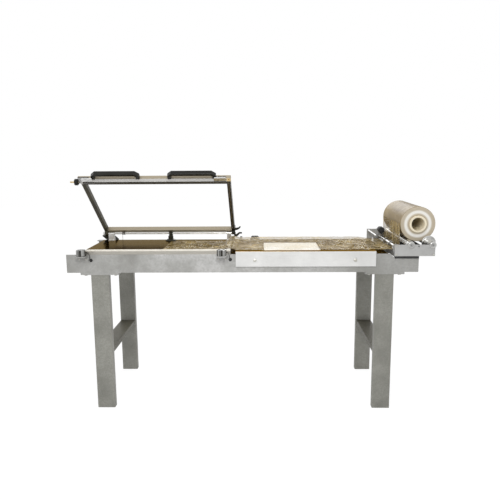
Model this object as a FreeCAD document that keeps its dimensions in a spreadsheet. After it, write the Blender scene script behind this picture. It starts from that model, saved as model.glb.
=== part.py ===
import FreeCAD, Part
import math
import os
from types import SimpleNamespace

import Sketcher
from FreeCAD import Placement, Rotation, Vector

# L-bar sealer: a floor-standing table with a hinged L-shaped sealing frame on the left,
# a packing plate on the right and a film dispenser at the right end.
# Origin: floor level, at the centre of the four legs.  +X to the right, +Y to the rear, +Z up.
# The sealing frame is drawn closed, about its hinge axis, and is placed open.

doc = FreeCAD.newDocument("LBarSealer")
sheet = doc.addObject("Spreadsheet::Sheet", "Sizes")

DRIVING_SIZES = [
    # table
    ("leg_spread", 1500), ("leg_width", 94), ("leg_depth", 36), ("leg_height", 745),
    ("table_depth", 600), ("steel_wall", 3),
    ("head_plate_width", 202), ("head_plate_thickness", 12),
    ("brace_height", 305), ("brace_section", 25),
    ("rail_length", 1845), ("rail_flange", 40),
    ("rail_bottom", 757), ("deck_underside", 844), ("rail_lip", 854),
    ("step_start", 775), ("step_level", 829.7),
    ("deck_thickness", 2), ("deck_left", 883), ("deck_rear", 283),
    # lower seal bars and magnets
    ("bar_width", 20), ("lower_bar_height", 25), ("lower_bar_left", 860),
    ("side_bar_centre", 69), ("side_bar_rear", 200), ("pad_width", 14), ("pad_top", 879),
    ("magnet_radius", 25), ("magnet_height", 32), ("magnet_reach", 325.5),
    ("magnet_left", 834), ("magnet_right", 102), ("magnet_base", 851),
    ("lead_diameter", 4),
    # sealing frame, measured from the hinge axis
    ("hinge_back", 260), ("hinge_height", 889), ("open_angle", 38),
    ("shaft_radius", 5), ("running_gap", 0.05), ("eye_radius", 8.5),
    ("arm_reach", 557), ("arm_top", 34), ("arm_height", 25),
    ("left_arm_centre", 859), ("left_arm_width", 22),
    ("profile_bottom", 5.4), ("insulator_thickness", 3), ("frame_bar_left", 882),
    ("handle_length", 260), ("handle_gap", 28), ("handle_grip", 16), ("handle_height", 25),
    # packing plate
    ("plate_left", 30), ("plate_right", 700), ("plate_top", 870), ("plate_rear", 105),
    ("plate_sheet", 2), ("flange_bottom", 788), ("rod_radius", 8), ("rod_height", 822),
    ("rod_left", 70), ("rod_right", 593), ("rod_length", 366),
    # film dispenser
    ("dispenser_left", 795.5), ("dispenser_right", 1003), ("dispenser_bottom", 841.7),
    ("dispenser_top", 901.8), ("roller_radius", 19), ("roller_height", 900),
    ("roller_left_place", 879), ("roller_right_place", 991), ("journal_radius", 8),
    ("roll_place", 935), ("roll_height", 997.4), ("roll_radius", 93), ("roll_width", 420),
    ("core_outer", 45), ("core_inner", 35), ("core_length", 432),
    ("press_place", 825.5), ("press_height", 917), ("press_radius", 17),
    ("wheel_place", 815), ("wheel_height", 880), ("wheel_radius", 13),
    ("guide_place", 838), ("guide_height", 868.9), ("guide_radius", 6),
    ("opener_place", 754), ("opener_height", 910),
    ("film_thickness", 0.6),
]


class Size:
    """A number together with the spreadsheet formula that it comes from."""

    def __init__(self, value, formula):
        self.value = float(value)
        self.formula = formula

    @staticmethod
    def of(thing):
        return thing if isinstance(thing, Size) else Size(thing, f"{float(thing):.6g}")

    def __add__(self, other):
        other = Size.of(other)
        return Size(self.value + other.value, f"({self.formula} + {other.formula})")

    def __sub__(self, other):
        other = Size.of(other)
        return Size(self.value - other.value, f"({self.formula} - {other.formula})")

    def __mul__(self, other):
        other = Size.of(other)
        return Size(self.value * other.value, f"({self.formula} * {other.formula})")

    def __truediv__(self, other):
        other = Size.of(other)
        return Size(self.value / other.value, f"({self.formula} / {other.formula})")

    def __neg__(self):
        return Size(-self.value, f"(0 - {self.formula})")

    def __radd__(self, other):
        return Size.of(other) + self

    def __rsub__(self, other):
        return Size.of(other) - self

    def __rmul__(self, other):
        return Size.of(other) * self


S = SimpleNamespace()
for row, (alias, number) in enumerate(DRIVING_SIZES, start=1):
    sheet.set(f"A{row}", alias)
    sheet.set(f"B{row}", str(number))
    sheet.setAlias(f"B{row}", alias)
    setattr(S, alias, Size(number, f"Sizes.{alias}"))
doc.recompute()

# ---------------------------------------------------------------- drawing helpers

nodes = []
counter = {"made": 0}


def fresh(word):
    counter["made"] += 1
    return f"{word}_{counter['made']}"


def bind(thing, prop, size):
    """Tie a property to the sheet."""
    thing.setExpression(prop, Size.of(size).formula)


def put(thing, x=0, y=0, z=0, rotation=None):
    """Place an object, with its position tied to the sheet."""
    place = Vector(Size.of(x).value, Size.of(y).value, Size.of(z).value)
    thing.Placement = Placement(place, rotation or Rotation())
    for axis, size in (("x", x), ("y", y), ("z", z)):
        if isinstance(size, Size):
            bind(thing, f"Placement.Base.{axis}", size)
    return thing


def node(label, thing):
    """Name a finished sub-part."""
    thing.Label = label
    nodes.append(thing)
    return thing


def on_frame(thing):
    """Swing a piece drawn about the hinge axis to the open position."""
    put(thing, 0, S.hinge_back, S.hinge_height, Rotation(Vector(-1, 0, 0), S.open_angle.value))
    bind(thing, "Placement.Rotation.Angle", S.open_angle)
    return thing


def group(label, pieces):
    """One sub-part made of several separate equal solids."""
    holder = doc.addObject("Part::Compound", fresh("Group"))
    holder.Links = pieces
    return node(label, holder)


def fuse(pieces):
    joined = doc.addObject("Part::MultiFuse", fresh("Fuse"))
    joined.Shapes = pieces
    return joined


def block(low, high):
    """A box between two corners."""
    box = doc.addObject("Part::Box", fresh("Box"))
    for side, start, end in zip(("Length", "Width", "Height"), low, high):
        bind(box, side, Size.of(end) - start)
    return put(box, *low)


AIM = {
    "X": Rotation(Vector(0, 1, 0), 90),
    "Y": Rotation(Vector(1, 0, 0), -90),
    "Z": Rotation(),
}


def cylinder(axis, start, radius, length):
    """A round bar from a point along +X, +Y or +Z."""
    bar = doc.addObject("Part::Cylinder", fresh("Cylinder"))
    bind(bar, "Radius", radius)
    bind(bar, "Height", length)
    return put(bar, *start, rotation=AIM[axis])


def hexagon(start, across_corners, height):
    """A hexagonal prism standing on a point."""
    nut = doc.addObject("Part::Prism", fresh("Prism"))
    nut.Polygon = 6
    bind(nut, "Circumradius", Size.of(across_corners) / 2)
    bind(nut, "Height", height)
    return put(nut, *start)


def new_body(word):
    return doc.addObject("PartDesign::Body", fresh(word))


def base_plane(body, role):
    for feature in body.Origin.OriginFeatures:
        if feature.Role == role:
            return feature
    raise ValueError(role)


def sketch_on(body, plane, level):
    """A sketch on one of the body's base planes, moved along the plane's normal."""
    sketch = body.newObject("Sketcher::SketchObject", fresh("Sketch"))
    sketch.AttachmentSupport = (base_plane(body, f"{plane}_Plane"), [""])
    sketch.MapMode = "FlatFace"
    level = Size.of(level)
    sketch.AttachmentOffset = Placement(Vector(0, 0, level.value), Rotation())
    bind(sketch, "AttachmentOffset.Base.z", level)
    return sketch


def pin_point(sketch, piece, end, point):
    """Tie a point of the sketch to its distances from the sketch's origin."""
    for kind, size in zip(("DistanceX", "DistanceY"), point):
        size = Size.of(size)
        index = sketch.addConstraint(Sketcher.Constraint(kind, -1, 1, piece, end, size.value))
        if "Sizes" in size.formula:
            sketch.setExpression(f"Constraints[{index}]", size.formula)


def draw_polygon(sketch, corners):
    places = [Vector(Size.of(a).value, Size.of(b).value, 0) for a, b in corners]
    count = len(corners)
    first = sketch.GeometryCount
    for i in range(count):
        sketch.addGeometry(Part.LineSegment(places[i], places[(i + 1) % count]), False)
    for i in range(count):
        follower = first + (i + 1) % count
        sketch.addConstraint(Sketcher.Constraint("Coincident", first + i, 2, follower, 1))
    for i in range(count):
        pin_point(sketch, first + i, 1, corners[i])


def draw_circle(sketch, centre, radius):
    radius = Size.of(radius)
    middle = Vector(Size.of(centre[0]).value, Size.of(centre[1]).value, 0)
    index = sketch.GeometryCount
    sketch.addGeometry(Part.Circle(middle, Vector(0, 0, 1), radius.value), False)
    pin_point(sketch, index, 3, centre)
    rim = sketch.addConstraint(Sketcher.Constraint("Radius", index, radius.value))
    if "Sizes" in radius.formula:
        sketch.setExpression(f"Constraints[{rim}]", radius.formula)


def draw(sketch, loops):
    """Each loop is a list of corners, or a circle as ((a, b), radius)."""
    for loop in loops:
        if isinstance(loop, tuple):
            draw_circle(sketch, *loop)
        else:
            draw_polygon(sketch, loop)


def span(plane, low, high):
    """The start along the plane's normal, and the length: the XZ plane's normal is -Y."""
    if plane == "XZ":
        return -Size.of(high), -Size.of(low), Size.of(high) - low
    return Size.of(low), Size.of(high), Size.of(high) - low


def pad(body, plane, loops, low, high):
    """Add material between two levels along the plane's own axis."""
    start, _, length = span(plane, low, high)
    sketch = sketch_on(body, plane, start)
    draw(sketch, loops)
    feature = body.newObject("PartDesign::Pad", fresh("Pad"))
    feature.Profile = sketch
    bind(feature, "Length", length)
    sketch.Visibility = False
    doc.recompute()
    return feature


def pocket(body, plane, loops, low, high):
    """Remove material between two levels along the plane's own axis."""
    before = body.Shape.Volume
    _, end, length = span(plane, low, high)
    sketch = sketch_on(body, plane, end)
    draw(sketch, loops)
    feature = body.newObject("PartDesign::Pocket", fresh("Pocket"))
    feature.Profile = sketch
    bind(feature, "Length", length)
    doc.recompute()
    if body.Shape.Volume >= before - 0.1:
        raise RuntimeError(f"{body.Name}: the pocket cut nothing")
    return feature


def prism(plane, loops, low, high):
    """A body padded from one outline."""
    body = new_body("Body")
    pad(body, plane, loops, low, high)
    return body


def turned(axis, profile):
    """A body of revolution: corners are (along the axis, radius)."""
    body = new_body("Turned")
    if axis == "Z":
        sketch = sketch_on(body, "XZ", 0)
        draw_polygon(sketch, [(radius, along) for along, radius in profile])
        line = "V_Axis"
    else:
        sketch = sketch_on(body, "XZ" if axis == "X" else "YZ", 0)
        draw_polygon(sketch, profile)
        line = "H_Axis"
    feature = body.newObject("PartDesign::Revolution", fresh("Revolution"))
    feature.Profile = sketch
    feature.ReferenceAxis = (sketch, [line])
    feature.Angle = 360
    doc.recompute()
    return body


def round_edges(body, radius, chosen):
    """Fillet the edges for which chosen(edge) is true."""
    base = body.Tip
    names = [f"Edge{i}" for i, edge in enumerate(body.Shape.Edges, start=1) if chosen(edge)]
    feature = body.newObject("PartDesign::Fillet", fresh("Fillet"))
    feature.Base = (base, names)
    bind(feature, "Radius", radius)
    doc.recompute()
    return feature


def along(edge, axis):
    """Whether a straight edge runs along an axis."""
    if not isinstance(edge.Curve, Part.Line):
        return False
    return abs(edge.Curve.Direction.dot(axis)) > 0.999


def rectangle(left, bottom, right, top):
    return [(left, bottom), (right, bottom), (right, top), (left, top)]


AXIS_X = Vector(1, 0, 0)
AXIS_Z = Vector(0, 0, 1)


def values(point):
    return Vector(*[Size.of(part).value for part in point])


def bent_path(points):
    """Straight runs joined by tangent arcs, each as large as its two runs allow."""
    edges = []
    radii = []
    start = points[0]
    for before, corner, after in zip(points, points[1:], points[2:]):
        way_in = (corner - before).normalize()
        way_out = (after - corner).normalize()
        half_turn = way_in.getAngle(way_out) / 2
        setback = 0.45 * min(before.distanceToPoint(corner), corner.distanceToPoint(after))
        radius = setback / math.tan(half_turn)
        enter = corner - way_in * setback
        leave = corner + way_out * setback
        inward = (way_out - way_in).normalize()
        middle = corner + inward * (radius / math.cos(half_turn) - radius)
        edges.append(Part.LineSegment(start, enter).toShape())
        edges.append(Part.Arc(enter, middle, leave).toShape())
        radii.append(round(radius, 1))
        start = leave
    edges.append(Part.LineSegment(start, points[-1]).toShape())
    return Part.Wire(edges), radii


def bent_bar(label, points, diameter):
    """A round lead or wire along a bent path."""
    route = [values(point) for point in points]
    path, radii = bent_path(route)
    direction = (route[1] - route[0]).normalize()
    ring = Part.Wire([Part.Circle(route[0], direction, diameter / 2).toShape()])
    solid = Part.Solid(path.makePipeShell([ring], True, False))
    if solid.Volume < 0:
        solid.reverse()
    expected = math.pi * diameter ** 2 / 4 * path.Length
    print(f"{label}: length {path.Length:.1f}, radii {radii}, volume ratio {solid.Volume / expected:.3f}")
    return solid


def feature(shape):
    holder = doc.addObject("Part::Feature", fresh("Feature"))
    holder.Shape = shape
    return holder


# ---------------------------------------------------------------- common places

half_depth = S.table_depth / 2
half_rail = S.rail_length / 2
half_spread = S.leg_spread / 2
wall = S.steel_wall
deck_top = S.deck_underside + S.deck_thickness
bar_back = -half_depth + wall + S.bar_width
lower_bar_top = deck_top + S.lower_bar_height
rod_places = (S.rod_left, S.rod_right)
grommets = ((Size.of(-792), Size.of(824)), (Size.of(-58.5), Size.of(826)))
FRAME_LEAD_HOLE = (-65, 275)
TIMER_PLACE = (65, 250)
SWITCH_PLACE = (-19.5, 234)
MAINS_GLAND = (300, 800)
SPRING_PLACE = -762
TUBE_REAR = 1.5

# ---------------------------------------------------------------- table


def make_front_rail():
    """Folded channel with a raised front lip, stepped down at the right end."""
    front = -half_depth
    back = front + S.rail_flange
    rail = prism("YZ", [[
        (front, S.rail_bottom), (back, S.rail_bottom), (back, S.rail_bottom + wall),
        (front + wall, S.rail_bottom + wall), (front + wall, S.deck_underside - wall),
        (back, S.deck_underside - wall), (back, S.deck_underside),
        (front + wall, S.deck_underside), (front + wall, S.rail_lip), (front, S.rail_lip),
    ]], -half_rail, half_rail)
    drop = S.rail_lip - S.step_level
    pocket(rail, "XZ", [[
        (S.step_start, S.rail_lip), (S.step_start + drop, S.step_level),
        (half_rail + 5, S.step_level), (half_rail + 5, S.rail_lip + 5), (S.step_start, S.rail_lip + 5),
    ]], front - 1, back + 1)
    pad(rail, "YZ", [rectangle(front, S.step_level - wall, back, S.step_level)],
        S.step_start + drop, half_rail)
    holes = [((x, S.rod_height), 13) for x in rod_places]
    holes += [((x, z), 7) for x, z in grommets]
    pocket(rail, "XZ", holes, front - 1, front + wall + 1)
    pocket(rail, "XY", bolt_circles((-278,)), S.rail_bottom - 1, S.rail_bottom + wall + 1)
    node("front_rail", rail)


def make_rear_rail():
    """The same channel without a lip, open to the front."""
    back = half_depth
    front = back - S.rail_flange
    rail = prism("YZ", [[
        (back, S.rail_bottom), (back, S.deck_underside), (front, S.deck_underside),
        (front, S.deck_underside - wall), (back - wall, S.deck_underside - wall),
        (back - wall, S.rail_bottom + wall), (front, S.rail_bottom + wall),
        (front, S.rail_bottom),
    ]], -half_rail, half_rail)
    drop = S.deck_underside - S.step_level
    pocket(rail, "XZ", [[
        (S.step_start, S.deck_underside), (S.step_start + drop, S.step_level),
        (half_rail + 5, S.step_level), (half_rail + 5, S.deck_underside + 5),
        (S.step_start, S.deck_underside + 5),
    ]], front - 1, back + 1)
    pad(rail, "YZ", [rectangle(front, S.step_level - wall, back, S.step_level)],
        S.step_start + drop, half_rail)
    pocket(rail, "XZ", [(MAINS_GLAND, 8)], back - wall - 1, back + 1)
    pocket(rail, "XY", [(FRAME_LEAD_HOLE, 5)], S.deck_underside - wall - 1, S.deck_underside + 1)
    pocket(rail, "XY", bolt_circles((278,)), S.rail_bottom - 1, S.rail_bottom + wall + 1)
    node("rear_rail", rail)


def bolt_places():
    """Across the table: two bolts beside each leg."""
    return [side * half_spread + step for side in (-1, 1) for step in (-80, 80)]


def bolt_circles(rows):
    return [((x, y), 5.5) for x in bolt_places() for y in rows]


def make_cross_channels():
    """Channels between the two rails, which carry the deck."""
    channels = []
    for left in (-880, -120, 745):
        low = S.rail_bottom + wall
        high = S.deck_underside - wall
        outline = [
            (left, low), (left + 30, low), (left + 30, low + wall), (left + wall, low + wall),
            (left + wall, high - wall), (left + 30, high - wall), (left + 30, high), (left, high),
        ]
        channels.append(prism("XZ", [outline], -half_depth + wall, half_depth - wall))
    group("cross_channels", channels)


def make_legs():
    """Four folded channels, web to the front."""
    legs = []
    for side in (-1, 1):
        for web in (-half_depth + 2, half_depth - 4 - S.leg_depth):
            centre = side * half_spread
            left = centre - S.leg_width / 2
            right = centre + S.leg_width / 2
            outline = [
                (left, web), (right, web), (right, web + S.leg_depth),
                (right - wall, web + S.leg_depth), (right - wall, web + wall),
                (left + wall, web + wall), (left + wall, web + S.leg_depth),
                (left, web + S.leg_depth),
            ]
            leg = prism("XY", [outline], 0, S.leg_height)
            round_edges(leg, 2, lambda edge, y=web.value: along(edge, AXIS_Z)
                        and abs(edge.Vertexes[0].Point.y - y) < 0.01)
            legs.append(leg)
    group("legs", legs)


def make_head_plates():
    """Thick plates between the legs and the rails."""
    plates = []
    for side in (-1, 1):
        centre = side * half_spread
        half = S.head_plate_width / 2
        plate = prism("XY", [rectangle(centre - half, -half_depth, centre + half, half_depth)],
                      S.leg_height, S.leg_height + S.head_plate_thickness)
        holes = [((centre + step, y), 5.5) for step in (-80, 80) for y in (-278, 278)]
        pocket(plate, "XY", holes, S.leg_height - 1, S.leg_height + S.head_plate_thickness + 1)
        plates.append(plate)
    group("leg_head_plates", plates)


def make_side_braces():
    """Inverted channels between the front and rear legs."""
    braces = []
    for side in (-1, 1):
        centre = side * half_spread
        left = centre - S.leg_width / 2 + wall
        right = centre + S.leg_width / 2 - wall
        low = S.brace_height
        high = low + S.brace_section
        outline = [
            (left, low), (left + wall, low), (left + wall, high - wall),
            (right - wall, high - wall), (right - wall, low), (right, low),
            (right, high), (left, high),
        ]
        braces.append(prism("XZ", [outline], -half_depth + 2 + wall, half_depth - 4 - S.leg_depth))
    group("side_braces", braces)


def make_frame_bolts():
    """Hexagon bolts up through the head plates and the rails' lower flanges."""
    bolts = []
    for x in bolt_places():
        for y in (-278, 278):
            head = hexagon((x, y, S.leg_height - 6.5), 17, 6.5)
            shank = cylinder("Z", (x, y, S.leg_height - 1), 5, 28)
            nut = hexagon((x, y, S.rail_bottom + wall), 17, 8)
            bolts.append(fuse([head, shank, nut]))
    group("frame_bolts", bolts)


def make_top_plate():
    """Polished deck sheet with holes for the timer spindle, the switch and the frame lead."""
    plate = prism("XY", [rectangle(-S.deck_left, -half_depth + wall, S.step_start, S.deck_rear)],
                  S.deck_underside, deck_top)
    pocket(plate, "XY", [(TIMER_PLACE, 5), (SWITCH_PLACE, 3), (FRAME_LEAD_HOLE, 5)],
           S.deck_underside - 1, deck_top + 1)
    node("top_plate", plate)


def seal_bar_outline(middle):
    """Bar section with a shallow groove for the pad."""
    half = S.bar_width / 2
    lip = S.pad_width / 2
    groove = lower_bar_top - 3
    return [
        (middle - half, deck_top), (middle + half, deck_top), (middle + half, lower_bar_top),
        (middle + lip, lower_bar_top), (middle + lip, groove), (middle - lip, groove),
        (middle - lip, lower_bar_top), (middle - half, lower_bar_top),
    ]


def pad_outline(middle):
    """Pad section, bevelled along its top."""
    lip = S.pad_width / 2
    base = lower_bar_top - 3
    return [
        (middle - lip, base), (middle + lip, base), (middle + lip, S.pad_top - 2.5),
        (middle + lip - 2.5, S.pad_top), (middle - lip + 2.5, S.pad_top),
        (middle - lip, S.pad_top - 2.5),
    ]


def make_lower_seal_bars():
    """The fixed L: a long front bar and a side bar, each with a silicone pad."""
    front_middle = bar_back - S.bar_width / 2
    side_middle = -S.side_bar_centre
    end = -S.side_bar_centre + S.bar_width / 2 + 1
    bars = []
    pads = []
    for outline, made in ((seal_bar_outline, bars), (pad_outline, pads)):
        made.append(prism("YZ", [outline(front_middle)], -S.lower_bar_left, end))
        made.append(prism("XZ", [outline(side_middle)], bar_back, S.side_bar_rear))
    group("lower_seal_bars", bars)
    group("silicone_pads", pads)


def make_magnets():
    """Pot magnets on shelf brackets screwed to the front rail."""
    magnets = []
    brackets = []
    for place in (-S.magnet_left, -S.magnet_right):
        magnet = turned("Z", [
            (0, 0), (0, S.magnet_radius - 2), (2, S.magnet_radius),
            (S.magnet_height - 1, S.magnet_radius), (S.magnet_height, S.magnet_radius - 1),
            (S.magnet_height, 19), (S.magnet_height - 2, 19), (S.magnet_height - 2, 11),
            (S.magnet_height, 11), (S.magnet_height, 0),
        ])
        magnets.append(put(magnet, place, -S.magnet_reach, S.magnet_base))
        face = -half_depth
        bracket = prism("YZ", [[
            (face, S.magnet_base), (-S.magnet_reach - 26, S.magnet_base),
            (-S.magnet_reach - 26, S.magnet_base - 5), (face - 4, S.magnet_base - 5),
            (face - 4, S.magnet_base - 33), (face, S.magnet_base - 33),
        ]], place - 28, place + 28)
        front_y = -S.magnet_reach.value - 26
        round_edges(bracket, 18, lambda edge: along(edge, AXIS_Z)
                    and abs(edge.Vertexes[0].Point.y - front_y) < 0.01)
        brackets.append(bracket)
    group("magnets", magnets)
    group("magnet_brackets", brackets)


def make_magnet_leads():
    """Leads from the magnets' sides, round and back into the rail grommets."""
    leads = []
    for name, place, (hole_x, hole_z), swing in (
            ("left magnet lead", -S.magnet_left, grommets[0], 4),
            ("right magnet lead", -S.magnet_right, grommets[1], -4)):
        start_x = place + S.magnet_radius
        points = [
            (start_x, -S.magnet_reach, S.magnet_base + 17),
            (start_x + 11, -S.magnet_reach, S.magnet_base + 17),
            (hole_x + swing, -S.magnet_reach - 3, S.magnet_base + 3),
            (hole_x + swing / 2, -S.magnet_reach - 2, S.magnet_base - 14),
            (hole_x - 1, -half_depth - 14, hole_z + 1),
            (hole_x, -half_depth, hole_z),
        ]
        leads.append(feature(bent_bar(name, points, S.lead_diameter.value)))
    group("magnet_leads", leads)


def grommet_profile(near, far, collar, neck, bore):
    """A collar each side of a wall that runs from near to far."""
    return [
        (near - 3, bore), (near - 3, collar - 1), (near - 2, collar), (near, collar),
        (near, neck), (far, neck), (far, collar), (far + 3, collar), (far + 3, bore),
    ]


def make_lead_grommets():
    """Rubber grommets for the magnet leads and the frame lead, and the mains gland."""
    bore = S.lead_diameter / 2 + 0.3
    made = []
    for x, z in grommets:
        ring = turned("Y", grommet_profile(-half_depth, -half_depth + wall, 9, 7, bore))
        made.append(put(ring, x, 0, z))
    deck = turned("Z", grommet_profile(S.deck_underside - wall, deck_top, 7, 5, bore))
    made.append(put(deck, FRAME_LEAD_HOLE[0], FRAME_LEAD_HOLE[1], 0))
    gland = turned("Y", grommet_profile(half_depth - wall, half_depth, 13, 8, 4))
    made.append(put(gland, MAINS_GLAND[0], 0, MAINS_GLAND[1]))
    group("lead_grommets", made)


def add_eye(body, left, right, bore):
    """A rounded eye about the hinge axis of an upright drawn in the table's frame."""
    centre = (S.hinge_back, S.hinge_height)
    pad(body, "YZ", [(centre, S.eye_radius)], left, right)
    pocket(body, "YZ", [(centre, bore)], left - 1, right + 1)


def make_hinge_posts():
    """Footed posts with bearing eyes for the hinge shaft."""
    posts = []
    bore = S.shaft_radius + S.running_gap
    for left, right in ((-846, -809), (-108, -83)):
        half = S.eye_radius
        middle = S.hinge_back
        post = prism("YZ", [[
            (middle - 20, deck_top), (middle + 20, deck_top), (middle + 20, deck_top + 5),
            (middle + half, deck_top + 5), (middle + half, S.hinge_height),
            (middle - half, S.hinge_height), (middle - half, deck_top + 5),
            (middle - 20, deck_top + 5),
        ]], left, right)
        add_eye(post, left, right, bore)
        posts.append(post)
    group("hinge_posts", posts)


def make_centre_post():
    """A round column on a domed flange, with a flat bearing lug at its top."""
    place = (-457.5, 250)
    column = turned("Z", [
        (846, 0), (846, 33), (849, 33), (853, 27), (856, 17), (856, 15.5), (873, 15.5), (876, 12.5),
        (876, 0),
    ])
    put(column, place[0], place[1], 0)
    lug = prism("YZ", [rectangle(S.hinge_back - S.eye_radius, deck_top + 20,
                                 S.hinge_back + S.eye_radius, S.hinge_height)],
                place[0] - 11, place[0] + 11)
    pad(lug, "YZ", [((S.hinge_back, S.hinge_height), S.eye_radius)], place[0] - 11, place[0] + 11)
    both = fuse([column, lug])
    bored = doc.addObject("Part::Cut", fresh("Cut"))
    bored.Base = both
    bored.Tool = cylinder("X", (place[0] - 20, S.hinge_back, S.hinge_height),
                          S.shaft_radius + S.running_gap, 40)
    node("centre_post", bored)


def make_limit_switch():
    """Switch housing on the deck, and its plunger."""
    housing = turned("Z", [
        (846, 0), (846, 14), (849, 14), (849, 11.5), (863, 11.5), (864, 10.5), (864, 4.05),
        (849.5, 4.05), (849.5, 0),
    ])
    node("limit_switch", put(housing, SWITCH_PLACE[0], SWITCH_PLACE[1], 0))
    plunger = turned("Z", [
        (853, 0), (853, 4), (867.3, 4), (867.3, 7), (870, 7), (871.5, 5), (871.5, 0),
    ])
    node("switch_plunger", put(plunger, SWITCH_PLACE[0], SWITCH_PLACE[1], 0))


def make_timer():
    """Sealing-time unit under the deck, and its skirted knob above."""
    x, y = TIMER_PLACE
    unit = prism("XY", [rectangle(x - 40, y - 45, x + 40, y + 9)], 786, S.deck_underside)
    pocket(unit, "XY", [(TIMER_PLACE, 3.05)], 799, S.deck_underside + 1)
    round_edges(unit, 4, lambda edge: along(edge, AXIS_Z) and edge.Length > 50)
    node("timer_unit", unit)
    knob = turned("Z", [
        (800, 0), (800, 3), (848, 3), (848, 30), (849, 31), (853, 31), (857, 26), (869, 23),
        (873, 18), (874, 12), (874, 0),
    ])
    flute = sketch_on(knob, "XY", 875)
    draw_circle(flute, (29.5, 0), 5)
    cut = knob.newObject("PartDesign::Pocket", fresh("Pocket"))
    cut.Profile = flute
    cut.Length = 19
    doc.recompute()
    repeat = knob.newObject("PartDesign::PolarPattern", fresh("Polar"))
    repeat.Originals = [cut]
    repeat.Axis = (flute, ["N_Axis"])
    repeat.Angle = 360
    repeat.Occurrences = 8
    knob.Tip = repeat
    doc.recompute()
    node("timer_knob", put(knob, x, y, 0))


def make_transformer():
    """Laminated core with a rounded winding, hung under the deck."""
    core = block((-500, 60, 784), (-400, 140, S.deck_underside))
    coil = prism("XY", [rectangle(-478, 44, -422, 156)], 797, 829)
    round_edges(coil, 12, lambda edge: along(edge, AXIS_Z))
    node("seal_transformer", fuse([core, coil]))


def coil_stations(mean, pitch, turns, steps=10):
    """Points along a helix about +Z, as (place, outward direction)."""
    stations = []
    for i in range(round(turns * steps) + 1):
        angle = 2 * math.pi * i / steps
        outward = Vector(math.cos(angle), math.sin(angle), 0)
        stations.append((outward * mean + AXIS_Z * (pitch * i / steps), outward))
    return stations


def wire_form(stations, wire_radius, sides=5):
    """A closed solid of flat facets: a wire of polygonal section along the stations."""
    rings = []
    for i, (place, outward) in enumerate(stations):
        before = stations[max(i - 1, 0)][0]
        after = stations[min(i + 1, len(stations) - 1)][0]
        across = (after - before).cross(outward).normalize()
        spokes = [2 * math.pi * k / sides for k in range(sides)]
        rings.append([place + (outward * math.cos(a) + across * math.sin(a)) * wire_radius
                      for a in spokes])
    facets = [rings[0], rings[-1]]
    for ring, following in zip(rings, rings[1:]):
        for k in range(sides):
            left, right = k, (k + 1) % sides
            facets.append([ring[left], ring[right], following[right]])
            facets.append([ring[left], following[right], following[left]])
    faces = [Part.Face(Part.makePolygon(corners + corners[:1])) for corners in facets]
    shell = Part.makeShell(faces)
    shell.sewShape()
    solid = Part.makeSolid(shell)
    if solid.Volume < 0:
        solid.reverse()
    return solid


def make_return_spring():
    """Torsion spring round the hinge shaft: its tail presses the deck, its arm the rear tube."""
    mean, wire_radius, pitch, turns = 7.2, 1.1, 3.3, 6
    coil = coil_stations(mean, pitch, turns)
    first, outward = coil[0]
    last = coil[-1][0]
    bend = Vector(0, 2, 0)
    fall = Vector(0, (deck_top - S.hinge_height).value, 0)
    # the arm's end lies on the rear face of the open frame's tube
    angle = math.radians(S.open_angle.value)
    away, along_tube = TUBE_REAR + wire_radius, 26
    rest = Vector(away * math.cos(angle) + along_tube * math.sin(angle),
                  along_tube * math.cos(angle) - away * math.sin(angle), last.z)
    tail = [(first + fall, outward), (first - bend, outward)]
    arm = [(last + bend, outward), (rest, outward)]
    holder = feature(wire_form(tail + coil[1:-1] + arm, wire_radius))
    # local +Z runs along +X; local +X points to the rear, so the tail goes down and the arm up
    turn = Rotation(Vector(0, 1, 0), Vector(0, 0, 1), Vector(1, 0, 0), "ZXY")
    put(holder, SPRING_PLACE, S.hinge_back, S.hinge_height, turn)
    node("return_spring", holder)


def make_frame_lead():
    """Lead from the frame's right arm down into the deck grommet."""
    angle = math.radians(S.open_angle.value)
    back, up = ARM_END, 21
    first_run = 13
    exit_y = S.hinge_back.value + back * math.cos(angle) + up * math.sin(angle)
    exit_z = S.hinge_height.value - back * math.sin(angle) + up * math.cos(angle)
    x, hole_y = FRAME_LEAD_HOLE
    points = [
        (x, exit_y, exit_z),
        (x, exit_y + first_run * math.cos(angle), exit_z - first_run * math.sin(angle)),
        (x - 0.5, hole_y + 20, exit_z - 21),
        (x - 0.5, hole_y + 11, exit_z - 31),
        (x, hole_y, exit_z - 41),
        (x, hole_y, exit_z - 62),
    ]
    node("frame_lead", feature(bent_bar("frame lead", points, S.lead_diameter.value)))


def make_stop_buffer():
    """Rubber buffer on the rear rail, under the stop lever."""
    buffer = turned("Z", [(844, 0), (844, 5), (851, 5), (852.4, 4), (852.4, 0)])
    node("stop_buffer", put(buffer, -835, 291, 0))


# ---------------------------------------------------------------- sealing frame

reach = S.arm_reach
bar_rear = -reach + S.bar_width
profile_top = S.arm_top - S.bar_width
arm_bottom = S.arm_top - S.arm_height
terminal_left = -S.side_bar_centre - 11
frame_end = -S.side_bar_centre + 11
insulator_bottom = -S.profile_bottom - S.insulator_thickness
HANDLE_STARTS = (-806, -396)
KNOB_END = -877
ARM_END = 12


def hollow(left, bottom, right, top, thickness=2):
    """Outline and inner outline of a rectangular tube."""
    inner = rectangle(left + thickness, bottom + thickness, right - thickness, top - thickness)
    return [rectangle(left, bottom, right, top), inner]


def make_front_bar():
    """Square tube across the front of the frame, notched over the tension knob."""
    bar = prism("YZ", hollow(-reach, profile_top, bar_rear, S.arm_top),
                -S.frame_bar_left, terminal_left)
    notch = rectangle(-S.frame_bar_left - 1, profile_top - 1, KNOB_END + 0.4, profile_top + 6.5)
    pocket(bar, "XZ", [notch], -reach - 1, bar_rear + 1)
    holes = [((x, profile_top + 9), 3) for x in handle_screw_places()]
    pocket(bar, "XZ", holes, -reach - 1, bar_rear + 1)
    node("front_bar", on_frame(bar))


def handle_screw_places():
    return [start + step for start in HANDLE_STARTS for step in (9, S.handle_length - 9)]


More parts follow.
